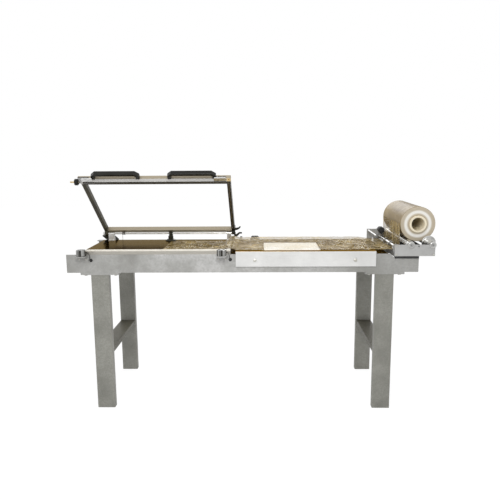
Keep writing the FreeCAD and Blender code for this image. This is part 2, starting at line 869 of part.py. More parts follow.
def make_seal_profiles():
    """Extrusions under the front bar and the side bar that carry the seal strips."""
    low = -S.profile_bottom
    front = prism("YZ", [rectangle(-reach, low, bar_rear, profile_top)], -864, terminal_left)
    pocket(front, "YZ", [((-reach + S.bar_width / 2, 2), 4.05)], -865, -820)
    side = prism("XZ", [rectangle(-79, low, -59, arm_bottom)], bar_rear, -62)
    holder = group("seal_profiles", [front, side])
    on_frame(holder)


def arm_with_eye(left, right, tail):
    """Arm along -Y with an eye about the hinge axis; the tail carries the stop lever."""
    outline = [
        (bar_rear, arm_bottom), (-14, arm_bottom), (-9, 0), (9, 0), (ARM_END, arm_bottom),
        (ARM_END, S.arm_top), (bar_rear, S.arm_top),
    ]
    if tail:
        outline = [
            (bar_rear, arm_bottom), (-14, arm_bottom), (-9, 0), (60, 0), (60, 4), (40, 7),
            (22, arm_bottom), (ARM_END, S.arm_top), (bar_rear, S.arm_top),
        ]
    arm = prism("YZ", [outline], left, right)
    pad(arm, "YZ", [((0, 0), 9)], left, right)
    pocket(arm, "YZ", [((0, 0), S.shaft_radius)], left - 1, right + 1)
    return arm


def make_arms():
    half = S.left_arm_width / 2
    left = arm_with_eye(-S.left_arm_centre - half, -S.left_arm_centre + half, True)
    node("left_arm", on_frame(left))
    right = arm_with_eye(-79, -59, False)
    node("side_bar", on_frame(right))


def make_rear_tube():
    """Square tube between the arms, just above the hinge shaft."""
    tube = prism("YZ", hollow(-23.5, arm_bottom, TUBE_REAR, S.arm_top), -848, -79)
    node("rear_tube", on_frame(tube))


def make_seal_strips():
    """Insulating strips under the profiles, and the flat seal wire on them."""
    low = insulator_bottom
    high = -S.profile_bottom
    front = prism("XY", [rectangle(-850, -reach + 1, frame_end, bar_rear - 1)], low, high)
    side = prism("XY", [rectangle(-78, bar_rear - 1, -60, -62)], low, high)
    on_frame(group("seal_insulators", [front, side]))
    middle = -reach + S.bar_width / 2
    wire = prism("XY", [[
        (-848, middle - 1.5), (-67.5, middle - 1.5), (-67.5, -64), (-70.5, -64),
        (-70.5, middle + 1.5), (-848, middle + 1.5),
    ]], low - 0.3, low)
    node("seal_wire", on_frame(wire))


def make_corner():
    """Corner block on the front bar's right end, and the brass terminal under it."""
    block_body = prism("XY", [rectangle(terminal_left, -reach, frame_end, bar_rear)],
                       profile_top, S.arm_top)
    round_edges(block_body, 3, lambda edge: along(edge, AXIS_Z)
                and edge.Vertexes[0].Point.y < -550 and edge.Vertexes[0].Point.x > -70)
    node("corner_block", on_frame(block_body))
    terminal = prism("XY", [rectangle(terminal_left, -reach, frame_end, bar_rear)],
                     -S.profile_bottom, profile_top)
    pocket(terminal, "XZ", [((-69, 5), 3.5)], -reach - 1, -reach + 8)
    pocket(terminal, "YZ", [((-reach + S.bar_width / 2, 3), 3)], frame_end - 9, frame_end + 1)
    node("corner_terminal", on_frame(terminal))


def make_armatures():
    """Stepped steel blocks that meet the magnets: a low plate under a higher carrier."""
    low = -S.profile_bottom
    armatures = []
    for plate_x, carrier_x in (((-854, -796), (-871, -815)), ((-146, -82), (-134, -82))):
        plate = prism("XY", [rectangle(plate_x[0], -reach - 28, plate_x[1], -reach)], low, low + 6)
        round_edges(plate, 5, lambda edge: along(edge, AXIS_Z) and edge.Vertexes[0].Point.y < -580)
        carrier = prism("YZ", [[
            (-reach, low + 6), (-reach - 31, low + 6), (-reach - 31, low + 11),
            (-reach - 22, low + 15.4), (-reach, low + 15.4),
        ]], *carrier_x)
        armatures.append(fuse([plate, carrier]))
    on_frame(group("armatures", armatures))


def make_handles():
    """Bridge handles on the front of the front bar."""
    face = -reach
    inner = face - S.handle_gap
    outer = inner - S.handle_grip
    middle = profile_top + 8.5
    low = middle - S.handle_height / 2
    high = middle + S.handle_height / 2
    handles = []
    for start in HANDLE_STARTS:
        end = start + S.handle_length
        body = prism("XY", [[
            (start, face), (start, inner + 6), (start + 22, outer), (end - 22, outer),
            (end, inner + 6), (end, face), (end - 18, face), (end - 18, inner + 8),
            (end - 26, inner), (start + 26, inner), (start + 18, inner + 8), (start + 18, face),
        ]], low, high)
        round_edges(body, 5, lambda edge: along(edge, AXIS_Z)
                    and edge.Vertexes[0].Point.y < face.value - 1)
        rim = [low.value, high.value]
        round_edges(body, 3.5, lambda edge: any(
            all(abs(v.Point.z - level) < 0.01 for v in edge.Vertexes) for level in rim)
            and edge.CenterOfMass.y < inner.value - 3)
        screws = [((start + step, profile_top + 9), 3) for step in (9, S.handle_length - 9)]
        pocket(body, "XZ", screws, face - 16, face + 1)
        handles.append(body)
    on_frame(group("bar_handles", handles))


def make_hinge_shaft():
    """Bright shaft with a collar at each end."""
    shaft = turned("X", [
        (-880, 0), (-880, 10), (-878, 12), (-870, 12), (-870, S.shaft_radius),
        (-59, S.shaft_radius), (-59, 7.5), (-54, 7.5), (-53, 6), (-53, 0),
    ])
    node("hinge_shaft", on_frame(shaft))


def make_stop_lever():
    """Skewed plate behind the hinge that stops on the buffer when the frame is open."""
    near, far = 20, 75
    lean = 18
    lever = prism("XY", [[(-891, near), (-813, near), (-813 + lean, far), (-891 + lean, far)]], -6, 0)
    round_edges(lever, 8, lambda edge: along(edge, AXIS_Z) and edge.Vertexes[0].Point.y > far - 1)
    node("stop_lever", on_frame(lever))


def make_switch_fingers():
    """Two hooked fingers on a small plate; the lower one meets the switch when closed."""
    outer = -59
    root = outer + 3
    plate = block((outer, -40, -40), (root, -14, S.arm_top))
    upper = prism("XZ", [[
        (root, 8), (-46, 9), (-36, 14), (-26, 24), (-24, 30), (-29, 29), (-38, 21), (-47, 19),
        (root, 19),
    ]], -33, -21)
    lower = prism("XZ", [[
        (root, -38), (-46, -37), (-37, -29), (-29, -17.5), (-14, -16.1), (-14, -13), (-30, -12),
        (-40, -19), (-48, -26), (root, -27),
    ]], -33, -21)
    node("switch_fingers", on_frame(fuse([plate, upper, lower])))


def make_tensioner():
    """Threaded rod that pulls the seal wire, its spring and its fluted knob."""
    axis_y = -reach + S.bar_width / 2
    rod = turned("X", [(-922, 0), (-922, 3), (-921, 4), (-850, 4), (-850, 0)])
    shift_to_axis(rod, "tension_rod", axis_y)
    knob = turned("X", [
        (-897, 4.05), (-897, 15), (-895, 17.5), (-881, 17.5), (-879, 14), (-877, 14), (-877, 4.05),
    ])
    flute = sketch_on(knob, "YZ", -878)
    draw_circle(flute, (0, 19), 4)
    cut = knob.newObject("PartDesign::Pocket", fresh("Pocket"))
    cut.Profile = flute
    cut.Length = 20
    doc.recompute()
    repeat = knob.newObject("PartDesign::PolarPattern", fresh("Polar"))
    repeat.Originals = [cut]
    repeat.Axis = (flute, ["N_Axis"])
    repeat.Angle = 360
    repeat.Occurrences = 8
    knob.Tip = repeat
    doc.recompute()
    shift_to_axis(knob, "tension_knob", axis_y)
    spring = feature(wire_form(coil_stations(6.2, 2.9, 3.5), 1.2))
    put(spring, KNOB_END + 1.3, 0, 0, AIM["X"])
    shift_to_axis(compound([spring]), "tension_spring", axis_y)


def compound(pieces):
    holder = doc.addObject("Part::Compound", fresh("Group"))
    holder.Links = pieces
    return holder


def shift_to_axis(piece, label, axis_y):
    """Move a piece drawn about the X axis to the tensioner's axis, then swing it open."""
    put(piece, 0, axis_y, 2)
    node(label, on_frame(compound([piece])))


# ---------------------------------------------------------------- packing plate


def make_packing_plate():
    """Folded sheet that hangs over the rail, on two guide rods."""
    front = -half_depth - 8
    sheet_wall = S.plate_sheet
    plate = prism("YZ", [[
        (front, S.flange_bottom), (front + 7.4, S.flange_bottom),
        (front + 7.4, S.flange_bottom + sheet_wall), (front + sheet_wall, S.flange_bottom + sheet_wall),
        (front + sheet_wall, S.plate_top - sheet_wall), (S.plate_rear, S.plate_top - sheet_wall),
        (S.plate_rear, S.plate_top), (front, S.plate_top),
    ]], -S.plate_left, S.plate_right)
    round_edges(plate, 1.8, lambda edge: along(edge, AXIS_X)
                and abs(edge.Vertexes[0].Point.y - front.value) < 0.01)
    pocket(plate, "XZ", [((x, S.rod_height), 4.3) for x in rod_places], front - 1, front + 3)
    node("packing_plate", plate)
    panel = prism("XY", [rectangle(117, -275, 415, -20)], S.plate_top, S.plate_top + 1.2)
    round_edges(panel, 6, lambda edge: along(edge, AXIS_Z))
    node("slide_panel", panel)


def make_guide_rods():
    """Rods behind the flange, their bushes in the front rail, and the flange screws."""
    rods = []
    bushes = []
    screws = []
    start = -half_depth - 6
    bore = S.rod_radius + S.running_gap
    for x in rod_places:
        rod = turned("Y", [
            (start, 4), (start, S.rod_radius - 1), (start + 1, S.rod_radius),
            (start + S.rod_length - 1, S.rod_radius), (start + S.rod_length, S.rod_radius - 1),
            (start + S.rod_length, 0), (start + 22, 0), (start + 20, 4),
        ])
        rods.append(put(rod, x, 0, S.rod_height))
        bush = turned("Y", [
            (-half_depth, bore), (-half_depth, 13), (-half_depth + wall, 13),
            (-half_depth + wall, 18), (-half_depth + 9, 18), (-half_depth + 9, 15),
            (-half_depth + 70, 14), (-half_depth + 70, bore),
        ])
        bushes.append(put(bush, x, 0, S.rod_height))
        screw = turned("Y", [
            (start - 5.5, 0), (start - 5.5, 5), (start - 4.5, 8), (start - 2, 9), (start - 2, 4),
            (start + 18, 4), (start + 18, 0),
        ])
        screws.append(put(screw, x, 0, S.rod_height))
    group("guide_rods", rods)
    group("guide_bushes", bushes)
    group("flange_screws", screws)


# ---------------------------------------------------------------- film dispenser

roller_places = (S.roller_left_place, S.roller_right_place)
REAR_PLATE = 250


def make_dispenser_plates():
    """End plates with open bearing notches for the two support rollers."""
    notches = [((x, S.roller_height), S.journal_radius + 0.1) for x in roller_places]
    front = -half_depth - 6
    left = S.dispenser_left
    plate = prism("XZ", [rectangle(left, S.dispenser_bottom, S.dispenser_right, S.dispenser_top)],
                  front, front + wall)
    pad(plate, "YZ", [rectangle(front + wall, S.dispenser_bottom, front + 20, S.dispenser_top)],
        left, left + wall)
    pocket(plate, "XZ", notches + [((919, 893), 4)], front - 1, front + wall + 1)
    node("dispenser_front_plate", plate)
    rear = prism("XZ", [rectangle(left, S.dispenser_bottom + 12, S.dispenser_right,
                                  S.dispenser_top)], REAR_PLATE, REAR_PLATE + 3)
    foot = [rectangle(REAR_PLATE + 3, S.dispenser_bottom + 12, REAR_PLATE + 24,
                      S.dispenser_bottom + 15)]
    pad(rear, "YZ", foot, left, S.dispenser_right)
    pocket(rear, "XZ", notches, REAR_PLATE - 1, REAR_PLATE + 4)
    node("dispenser_rear_plate", rear)


def make_base_bars():
    """Square tubes from front to rear that carry the dispenser on the stepped rails."""
    bars = []
    for left in (806, 890):
        outline = hollow(Size.of(left), S.step_level, Size.of(left + 20), S.dispenser_bottom + 12)
        bars.append(prism("XZ", outline, -half_depth - 3, half_depth - 3))
    group("dispenser_base_bars", bars)


def make_rollers():
    """Support rollers whose journals lie in the plates' notches."""
    radius = S.roller_radius
    journal = S.journal_radius
    front = -half_depth - 6
    for label, x in zip(("roller_left", "roller_right"), roller_places):
        roller = turned("Y", [
            (front - 6, 0), (front - 6, 15), (front - 4.5, 17), (front - 0.5, 17),
            (front - 0.5, journal), (front + 8, journal), (front + 8, radius - 1),
            (front + 9, radius), (REAR_PLATE - 3, radius), (REAR_PLATE - 2, radius - 1),
            (REAR_PLATE - 2, journal), (REAR_PLATE + 3.5, journal), (REAR_PLATE + 3.5, 12),
            (REAR_PLATE + 7, 12), (REAR_PLATE + 7, 0),
        ])
        node(label, put(roller, x, 0, S.roller_height))


def make_stop_discs():
    """Flanged discs that slide on the right roller and keep the roll in line."""
    bore = S.roller_radius + S.running_gap
    front = turned("Y", [
        (-250, bore), (-250, 24), (-231, 24), (-231, 35), (-229, 37), (-226, 37), (-225, 36),
        (-225, bore),
    ])
    put(front, S.roller_right_place, 0, S.roller_height)
    peg = cylinder("Y", (967, -258, 905), 9, 28)
    hollowed = doc.addObject("Part::Cut", fresh("Cut"))
    hollowed.Base = peg
    hollowed.Tool = cylinder("Y", (S.roller_right_place, -270, S.roller_height),
                             S.roller_radius + 1, 50)
    node("stop_disc_front", fuse([front, hollowed]))
    rear = turned("Y", [
        (212, bore), (212, 36), (213, 37), (218, 37), (220, 35), (220, 24), (234, 24), (234, bore),
    ])
    node("stop_disc_rear", put(rear, S.roller_right_place, 0, S.roller_height))


def make_film_roll():
    """Cardboard core and the film wound on it."""
    half = S.core_length / 2
    core = turned("Y", [(-half, S.core_inner), (-half, S.core_outer), (half, S.core_outer),
                        (half, S.core_inner)])
    node("film_core", put(core, S.roll_place, 0, S.roll_height))
    half = S.roll_width / 2
    winding = turned("Y", [
        (-half, S.core_outer), (-half, S.roll_radius - 2), (-half + 2, S.roll_radius),
        (half - 2, S.roll_radius), (half, S.roll_radius - 2), (half, S.core_outer),
    ])
    node("film_winding", put(winding, S.roll_place, 0, S.roll_height))


FRONT_BRACKET = (-222, -219)
REAR_BRACKET = (212, 215)
AXLE_RADIUS = 5
base_bar_top = S.dispenser_bottom + 12


def make_guide_brackets():
    """A tall plate on the deck at the rear, and a low one on the first base bar at the front."""
    low, high = REAR_BRACKET
    rear = prism("XZ", [[
        (747, deck_top), (773, deck_top), (780, 864), (852, 864), (852, 880), (844, 925),
        (834, 933), (818, 933), (804, 918), (747, 918),
    ]], low, high)
    pad(rear, "YZ", [rectangle(high, deck_top, high + 20, deck_top + wall)], 747, 773)
    axles = [((x, z), AXLE_RADIUS) for x, z in (
        (S.guide_place, S.guide_height), (S.opener_place, S.opener_height),
        (S.press_place, S.press_height))]
    wheel_bore = ((S.wheel_place, S.wheel_height), AXLE_RADIUS + S.running_gap)
    pocket(rear, "XZ", axles + [wheel_bore], low - 1, high + 1)

    low, high = FRONT_BRACKET
    front = prism("XZ", [[
        (806, base_bar_top), (826, base_bar_top), (828, 859), (848, 859), (848, 880), (834, 890),
        (806, 890),
    ]], low, high)
    pad(front, "YZ", [rectangle(low - 20, base_bar_top, low, base_bar_top + wall)], 806, 826)
    pocket(front, "XZ", [axles[0], wheel_bore], low - 1, high + 1)
    group("guide_brackets", [rear, front])


def round_bar(*steps):
    """A bar along Y, from its front end: each step is (where it starts, its radius, its end)."""
    profile = [(steps[0][0], 0)]
    for start, radius, end in steps:
        profile += [(start, radius), (end, radius)]
    profile.append((steps[-1][2], 0))
    return turned("Y", profile)


def make_film_guides():
    """Guide rod and opener rod, rubber press roller, and the perforator with its pin wheels."""
    front_out, front_in = FRONT_BRACKET
    rear_in, rear_out = REAR_BRACKET
    journal = AXLE_RADIUS
    rod = round_bar((front_out, journal, front_in), (front_in, S.guide_radius, rear_in),
                    (rear_in, journal, rear_out))
    opener = round_bar((-32, journal - 1, -30), (-30, journal, rear_out))
    group("film_guide_rod", [put(rod, S.guide_place, 0, S.guide_height),
                             put(opener, S.opener_place, 0, S.opener_height)])

    roller = turned("Y", [
        (160, 0), (160, 8), (163, 8), (163, S.press_radius - 1.5), (164.5, S.press_radius),
        (207.5, S.press_radius), (209, S.press_radius - 1.5), (209, 8), (rear_in - 0.5, 8),
        (rear_in - 0.5, journal - S.running_gap), (rear_out + 2, journal - S.running_gap),
        (rear_out + 2, 0),
    ])
    node("press_roller", put(roller, S.press_place, 0, S.press_height))

    hub = 7
    shaft = round_bar((front_out - 2, journal, front_in + 1), (front_in + 1, hub, rear_in - 1),
                      (rear_in - 1, journal, rear_out + 2))
    for centre in (-120, 0, 150):
        pad(shaft, "XZ", [((0, 0), S.wheel_radius)], centre - 3, centre + 3)
        tooth = [(-1.6, S.wheel_radius - 1), (0, S.wheel_radius + 4), (1.6, S.wheel_radius - 1)]
        pin = pad(shaft, "XZ", [tooth], centre - 1, centre + 1)
        repeat = shaft.newObject("PartDesign::PolarPattern", fresh("Polar"))
        repeat.Originals = [pin]
        repeat.Axis = (pin.Profile[0], ["N_Axis"])
        repeat.Angle = 360
        repeat.Occurrences = 12
        shaft.Tip = repeat
        doc.recompute()
    node("perforator", put(shaft, S.wheel_place, 0, S.wheel_height))


def ribbon(path, thickness):
    """Face between a line and its copy moved to the left of its direction, in the XZ plane."""
    left = []
    for i, point in enumerate(path):
        before = path[max(i - 1, 0)]
        after = path[min(i + 1, len(path) - 1)]
        way_in = (point - before).normalize() if i else (after - point).normalize()
        way_out = (after - point).normalize() if i < len(path) - 1 else way_in
        side = Vector(-(way_in.z + way_out.z), 0, way_in.x + way_out.x).normalize()
        lean = Vector(-way_in.z, 0, way_in.x).dot(side)
        left.append(point + side * (thickness / lean))
    corners = path + left[::-1]
    return Part.Face(Part.makePolygon(corners + corners[:1]))


def make_film_web():
    """Film drawn off the roll, under the guide rod and the pin wheels, and over the plate."""
    gap = 0.4
    thickness = S.film_thickness.value
    plate = S.plate_top.value + 1.6
    over_pad = S.pad_top.value + 0.3
    deck = deck_top.value + 1.5
    guide = values((S.guide_place, 0, S.guide_height))
    outside = S.guide_radius.value + gap + thickness
    under = S.guide_height.value - outside
    bend = [guide + Vector(math.cos(a), 0, math.sin(a)) * outside
            for a in [math.radians(d) for d in (-90, -67.5, -45, -22.5, 0)]]
    roll_side = S.roll_place.value - S.roll_radius.value - 0.8
    table_part = [Vector(x, -272, z) for x, z in (
        (-446, deck), (-108, deck), (-84, over_pad), (-54, over_pad), (-28, plate), (701, plate))]
    feed_part = [Vector(x, -205, z) for x, z in (
        (699, plate), (706, plate), (730, under + 3), (760, under))]
    feed_part += [Vector(p.x, -205, p.z) for p in bend]
    feed_part += [Vector(roll_side, -205, S.roll_height.value)]
    table_sheet = ribbon(table_part, thickness).extrude(Vector(0, 467, 0))
    feed_sheet = ribbon(feed_part, thickness).extrude(Vector(0, 410, 0))
    web = table_sheet.fuse(feed_sheet).removeSplitter()
    node("film_web", feature(web))


# ---------------------------------------------------------------- build

for make in (
        make_front_rail, make_rear_rail, make_cross_channels, make_legs, make_head_plates,
        make_side_braces, make_frame_bolts, make_top_plate, make_lower_seal_bars, make_magnets,
        make_magnet_leads, make_lead_grommets, make_hinge_posts, make_centre_post,
        make_limit_switch, make_timer, make_transformer, make_return_spring, make_frame_lead,
        make_stop_buffer, make_front_bar, make_seal_profiles, make_arms, make_rear_tube,
        make_seal_strips, make_corner, make_armatures, make_handles, make_hinge_shaft,
        make_stop_lever, make_switch_fingers, make_tensioner,
        make_packing_plate, make_guide_rods, make_dispenser_plates, make_base_bars, make_rollers,
        make_stop_discs, make_film_roll, make_guide_brackets, make_film_guides, make_film_web):
    make()
doc.recompute()

for thing in doc.Objects:
    if "Invalid" in thing.State or "Error" in thing.State:
        raise RuntimeError(f"{thing.Label} did not build: {thing.State}")

os.makedirs("parts", exist_ok=True)
for piece in nodes:
    if piece.Shape.isNull() or not piece.Shape.isValid():
        raise RuntimeError(f"{piece.Label} has no valid shape")
    if not piece.Shape.Solids:
        raise RuntimeError(f"{piece.Label} holds no solid")
    piece.Shape.exportStep(os.path.join("parts", f"{piece.Label}.step"))
print(f"{len(nodes)} sub-parts")
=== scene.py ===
import math
import random

import bmesh
import bpy
from mathutils import Euler, Matrix, Vector, noise


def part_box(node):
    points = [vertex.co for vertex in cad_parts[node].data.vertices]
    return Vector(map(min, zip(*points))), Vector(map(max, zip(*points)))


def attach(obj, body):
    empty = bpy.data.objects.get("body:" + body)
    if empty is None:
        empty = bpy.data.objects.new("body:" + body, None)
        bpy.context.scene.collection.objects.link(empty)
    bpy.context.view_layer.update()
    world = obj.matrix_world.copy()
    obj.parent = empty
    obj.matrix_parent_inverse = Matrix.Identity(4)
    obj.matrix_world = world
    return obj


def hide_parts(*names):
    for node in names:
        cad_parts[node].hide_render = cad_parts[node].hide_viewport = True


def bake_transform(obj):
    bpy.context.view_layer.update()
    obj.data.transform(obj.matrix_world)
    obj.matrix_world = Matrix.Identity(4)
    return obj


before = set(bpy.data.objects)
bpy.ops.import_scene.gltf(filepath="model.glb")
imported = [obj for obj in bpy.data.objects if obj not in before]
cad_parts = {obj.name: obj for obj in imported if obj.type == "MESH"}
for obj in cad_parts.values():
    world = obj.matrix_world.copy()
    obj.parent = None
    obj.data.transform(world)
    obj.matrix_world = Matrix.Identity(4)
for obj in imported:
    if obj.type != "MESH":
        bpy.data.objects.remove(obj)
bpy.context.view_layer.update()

# ---------------------------------------------------------------- places, in metres

HINGE = Vector((0.0, 0.260, 0.889))
OPEN = math.radians(38)
DECK_TOP = 0.846
PLATE_TOP = 0.870
ROLL_CENTRE = (0.935, 0.9974)
ROLLERS = (0.879, 0.991)
ROLLER_HEIGHT = 0.900
MAGNETS = ((-0.834, -0.3255), (-0.102, -0.3255))


def on_frame(x, y, z):
    """A point given about the hinge axis with the frame closed, in millimetres, moved to its open place."""
    back = y * math.cos(OPEN) + z * math.sin(OPEN)
    up = -y * math.sin(OPEN) + z * math.cos(OPEN)
    return Vector((x / 1000, HINGE.y + back / 1000, HINGE.z + up / 1000))


# ---------------------------------------------------------------- shader tools


class Value:
    """A shader number; arithmetic on it adds Math nodes."""

    def __init__(self, finish, socket):
        self.finish = finish
        self.socket = socket

    def _math(self, operation, first, second):
        sockets = [first, second] if second is not None else [first]
        made = self.finish.add("ShaderNodeMath", {"operation": operation}, dict(enumerate(sockets)))
        return Value(self.finish, made.outputs[0])

    def __add__(self, other):
        return self._math("ADD", self, other)

    def __radd__(self, other):
        return self._math("ADD", other, self)

    def __sub__(self, other):
        return self._math("SUBTRACT", self, other)

    def __rsub__(self, other):
        return self._math("SUBTRACT", other, self)

    def __mul__(self, other):
        return self._math("MULTIPLY", self, other)

    def __rmul__(self, other):
        return self._math("MULTIPLY", other, self)

    def __truediv__(self, other):
        return self._math("DIVIDE", self, other)

    def __pow__(self, other):
        return self._math("POWER", self, other)

    def above(self, limit):
        return self._math("GREATER_THAN", self, limit)

    def below(self, limit):
        return self._math("LESS_THAN", self, limit)

    def sine(self):
        return self._math("SINE", self, None)

    def size(self):
        return self._math("ABSOLUTE", self, None)

    def clipped(self):
        made = self.finish.add("ShaderNodeClamp", {}, {"Value": self})
        return Value(self.finish, made.outputs[0])

    def ramp(self, low, high):
        """0 at low, 1 at high."""
        return ((self - low) / (high - low)).clipped()


class Finish:
    """A material: one Principled surface and the nodes that feed it."""

    def __init__(self, name, color=(0.5, 0.5, 0.5), roughness=0.5, metallic=0.0, **constants):
        self.material = bpy.data.materials.new(name)
        self.material.use_nodes = True
        self.tree = self.material.node_tree
        self.tree.nodes.clear()
        self.surface = self.add("ShaderNodeBsdfPrincipled")
        output = self.add("ShaderNodeOutputMaterial")
        self.tree.links.new(self.surface.outputs[0], output.inputs["Surface"])
        self.set("Base Color", color)
        self.set("Roughness", roughness)
        self.set("Metallic", metallic)
        for socket, amount in constants.items():
            self.set(socket.replace("_", " "), amount)
        self.place = self.add("ShaderNodeTexCoord").outputs["Object"]

    def add(self, kind, settings=None, sockets=None):
        """A node of this kind: its settings first, then the values or links of its sockets."""
        made = self.tree.nodes.new(kind)
        for name, setting in (settings or {}).items():
            if name == "stops":
                ramp = made.color_ramp
                while len(ramp.elements) < len(setting):
                    ramp.elements.new(0.5)
                for element, (at, color) in zip(ramp.elements, setting):
                    element.position = at
                    element.color = (*color, 1) if len(color) == 3 else color
            else:
                setattr(made, name, setting)
        for name, what in (sockets or {}).items():
            self.connect(made.inputs[name], what)
        return made

    def connect(self, socket, what):
        if isinstance(what, Value):
            what = what.socket
        if isinstance(what, bpy.types.NodeSocket):
            self.tree.links.new(what, socket)
        elif hasattr(socket.default_value, "__len__") and not hasattr(what, "__len__"):
            socket.default_value = [what] * len(socket.default_value)
        elif hasattr(what, "__len__") and len(what) == 3 and len(socket.default_value) == 4:
            socket.default_value = (*what, 1)
        else:
            socket.default_value = what

    def set(self, socket, what):
        self.connect(self.surface.inputs[socket], what)
        return self

    def axis(self, name):
        split = self.add("ShaderNodeSeparateXYZ", {}, {0: self.place})
        return Value(self, split.outputs[name])

    def stretched(self, scale, turn=(0, 0, 0), move=(0, 0, 0)):
        mapping = self.add("ShaderNodeMapping", {}, {
            "Vector": self.place, "Scale": scale, "Rotation": turn, "Location": move})
        return mapping.outputs[0]

    def noise(self, scale, detail=3, roughness=0.5, distortion=0.0, vector=None):
        made = self.add("ShaderNodeTexNoise", {}, {
            "Vector": vector or self.place, "Scale": scale, "Detail": detail,
            "Roughness": roughness, "Distortion": distortion})
        return Value(self, made.outputs[0])

    def cells(self, scale, feature="F1", vector=None):
        made = self.add("ShaderNodeTexVoronoi", {"feature": feature}, {
            "Vector": vector or self.place, "Scale": scale})
        return Value(self, made.outputs[0])

    def mix(self, amount, first, second):
        """Colour first where amount is 0, second where it is 1."""
        made = self.add("ShaderNodeMix", {"data_type": "RGBA"}, {0: amount, 6: first, 7: second})
        return made.outputs[2]

    def bump(self, height, strength=0.3, distance=0.001):
        made = self.add("ShaderNodeBump", {}, {
            "Height": height, "Strength": strength, "Distance": distance})
        return self.set("Normal", made.outputs[0])


def grey(level):
    return (level, level, level)


# ---------------------------------------------------------------- finishes


def hammered_paint(name, color, dark, roughness=0.42, painted_end_shade=None):
    """Silver hammered enamel: small dimples, cloudy tone, rubbed marks, and painted shade towards both ends when
    asked.
    """
    made = Finish(name, metallic=0.25, Specular_IOR_Level=0.5)
    dimples = made.cells(260)
    clouds = made.noise(5, 4, 0.6)
    specks = made.noise(420, 2, 0.6)
    mottle = made.noise(95, 4, 0.7)
    tone = made.mix(clouds.ramp(0.38, 0.68), color, dark)
    tone = made.mix(mottle.ramp(0.42, 0.62) * 0.45, tone, dark)
    tone = made.mix(specks.ramp(0.56, 0.72) * 0.3, tone, grey(0.7))
    # Painted shade: the tone darkens towards both ends along X, away from the given middle.
    if painted_end_shade:
        ends = (made.axis("X") - painted_end_shade[0]).size().ramp(painted_end_shade[1] * 0.4, painted_end_shade[1])
        tone = made.mix(ends * 0.55, tone, dark)
    scuff = made.noise(14, 5, 0.7, vector=made.stretched((1, 1, 6))).ramp(0.66, 0.72)
    tone = made.mix(scuff * 0.35, tone, dark)
    made.set("Base Color", tone)
    made.set("Roughness", roughness + clouds * 0.12 - specks * 0.05)
    made.bump(dimples + specks * 0.2, 0.22, 0.0008)
    return made


def plain_enamel(name, color, dark, gloss=0.5):
    """Smooth stoved enamel with a faint orange-peel and cloudy tone."""
    made = Finish(name, metallic=0.05, Specular_IOR_Level=gloss)
    peel = made.noise(180, 2)
    clouds = made.noise(7, 4, 0.6)
    tone = made.mix(clouds.ramp(0.4, 0.72), color, dark)
    specks = made.noise(600, 1).ramp(0.68, 0.74)
    tone = made.mix(specks * 0.3, tone, dark)
    made.set("Base Color", tone)
    made.set("Roughness", 0.34 + clouds * 0.15)
    made.bump(peel, 0.1, 0.0005)
    return made


def brushed(name, color, dark, grain=(1, 40, 40), roughness=0.28):
    """Metal brushed along one direction."""
    made = Finish(name, metallic=1.0)
    streaks = made.noise(60, 3, 0.6, vector=made.stretched(grain))
    clouds = made.noise(9, 3)
    tone = made.mix(streaks.ramp(0.3, 0.7), color, dark)
    made.set("Base Color", made.mix(clouds.ramp(0.45, 0.8) * 0.5, tone, dark))
    made.set("Roughness", roughness + streaks * 0.12 + clouds * 0.08)
    made.bump(streaks, 0.08, 0.0004)
    return made


def polished_deck():
    """Mirror-polished stainless sheet: a painted brown reflection in its tone and tint, long fine scratches,
    smears.
    """
    # The brown specular tint is a painted reflection of a brown room at grazing angles.
    made = Finish("polished_deck", metallic=1.0, Specular_Tint=(0.34, 0.27, 0.16, 1))
    grain = made.noise(40, 4, 0.6, vector=made.stretched((1, 60, 60)))
    smear = made.noise(3.5, 4, 0.55)
    scratch = made.noise(9, 6, 0.75, vector=made.stretched((1.2, 30, 1), (0, 0, 0.4))).ramp(0.63, 0.66)
    # The brown tone is a painted reflection; the smears vary it at random.
    tone = made.mix(smear.ramp(0.35, 0.7), (0.15, 0.112, 0.058), (0.23, 0.18, 0.10))
    tone = made.mix(scratch * 0.3, tone, (0.30, 0.25, 0.18))
    made.set("Base Color", tone)
    made.set("Roughness", 0.10 + grain * 0.08 + smear * 0.06)
    made.bump(grain, 0.03, 0.0003)
    return made


def folded_sheet():
    """The packing plate: polished on top with the deck's painted brown reflection, pale satin on its front flange.
    """
    # The brown specular tint is painted reflection, as on the deck.
    made = Finish("folded_sheet", Specular_Tint=(0.30, 0.24, 0.15, 1))
    top = made.axis("Z").ramp(0.8680, 0.8690)
    smear = made.noise(6, 4, 0.55)
    grain = made.noise(50, 3, 0.6, vector=made.stretched((1, 50, 50)))
    specks = made.noise(500, 1).ramp(0.66, 0.74)
    # The brown tone on top is painted reflection, as on the deck; the smears vary it.
    polished = made.mix(smear.ramp(0.35, 0.7), (0.19, 0.135, 0.060), (0.31, 0.23, 0.11))
    satin = made.mix(smear.ramp(0.4, 0.72), (0.72, 0.72, 0.71), (0.60, 0.60, 0.59))
    satin = made.mix(specks * 0.35, satin, grey(0.42))
    made.set("Base Color", made.mix(top, satin, polished))
    made.set("Metallic", top * 0.9 + 0.1)
    made.set("Roughness", 0.36 - top * 0.18 + grain * 0.08)
    made.bump(grain, 0.04, 0.0003)
    return made


def plated(name, color, dark, roughness=0.12):
    """Bright nickel plate with slight clouding and pits."""
    made = Finish(name, metallic=1.0)
    clouds = made.noise(25, 3)
    pits = made.noise(900, 1).ramp(0.7, 0.76)
    tone = made.mix(clouds.ramp(0.35, 0.75), color, dark)
    made.set("Base Color", made.mix(pits * 0.5, tone, dark))
    made.set("Roughness", roughness + clouds * 0.12)
    made.bump(pits, 0.05, 0.0003)
    return made


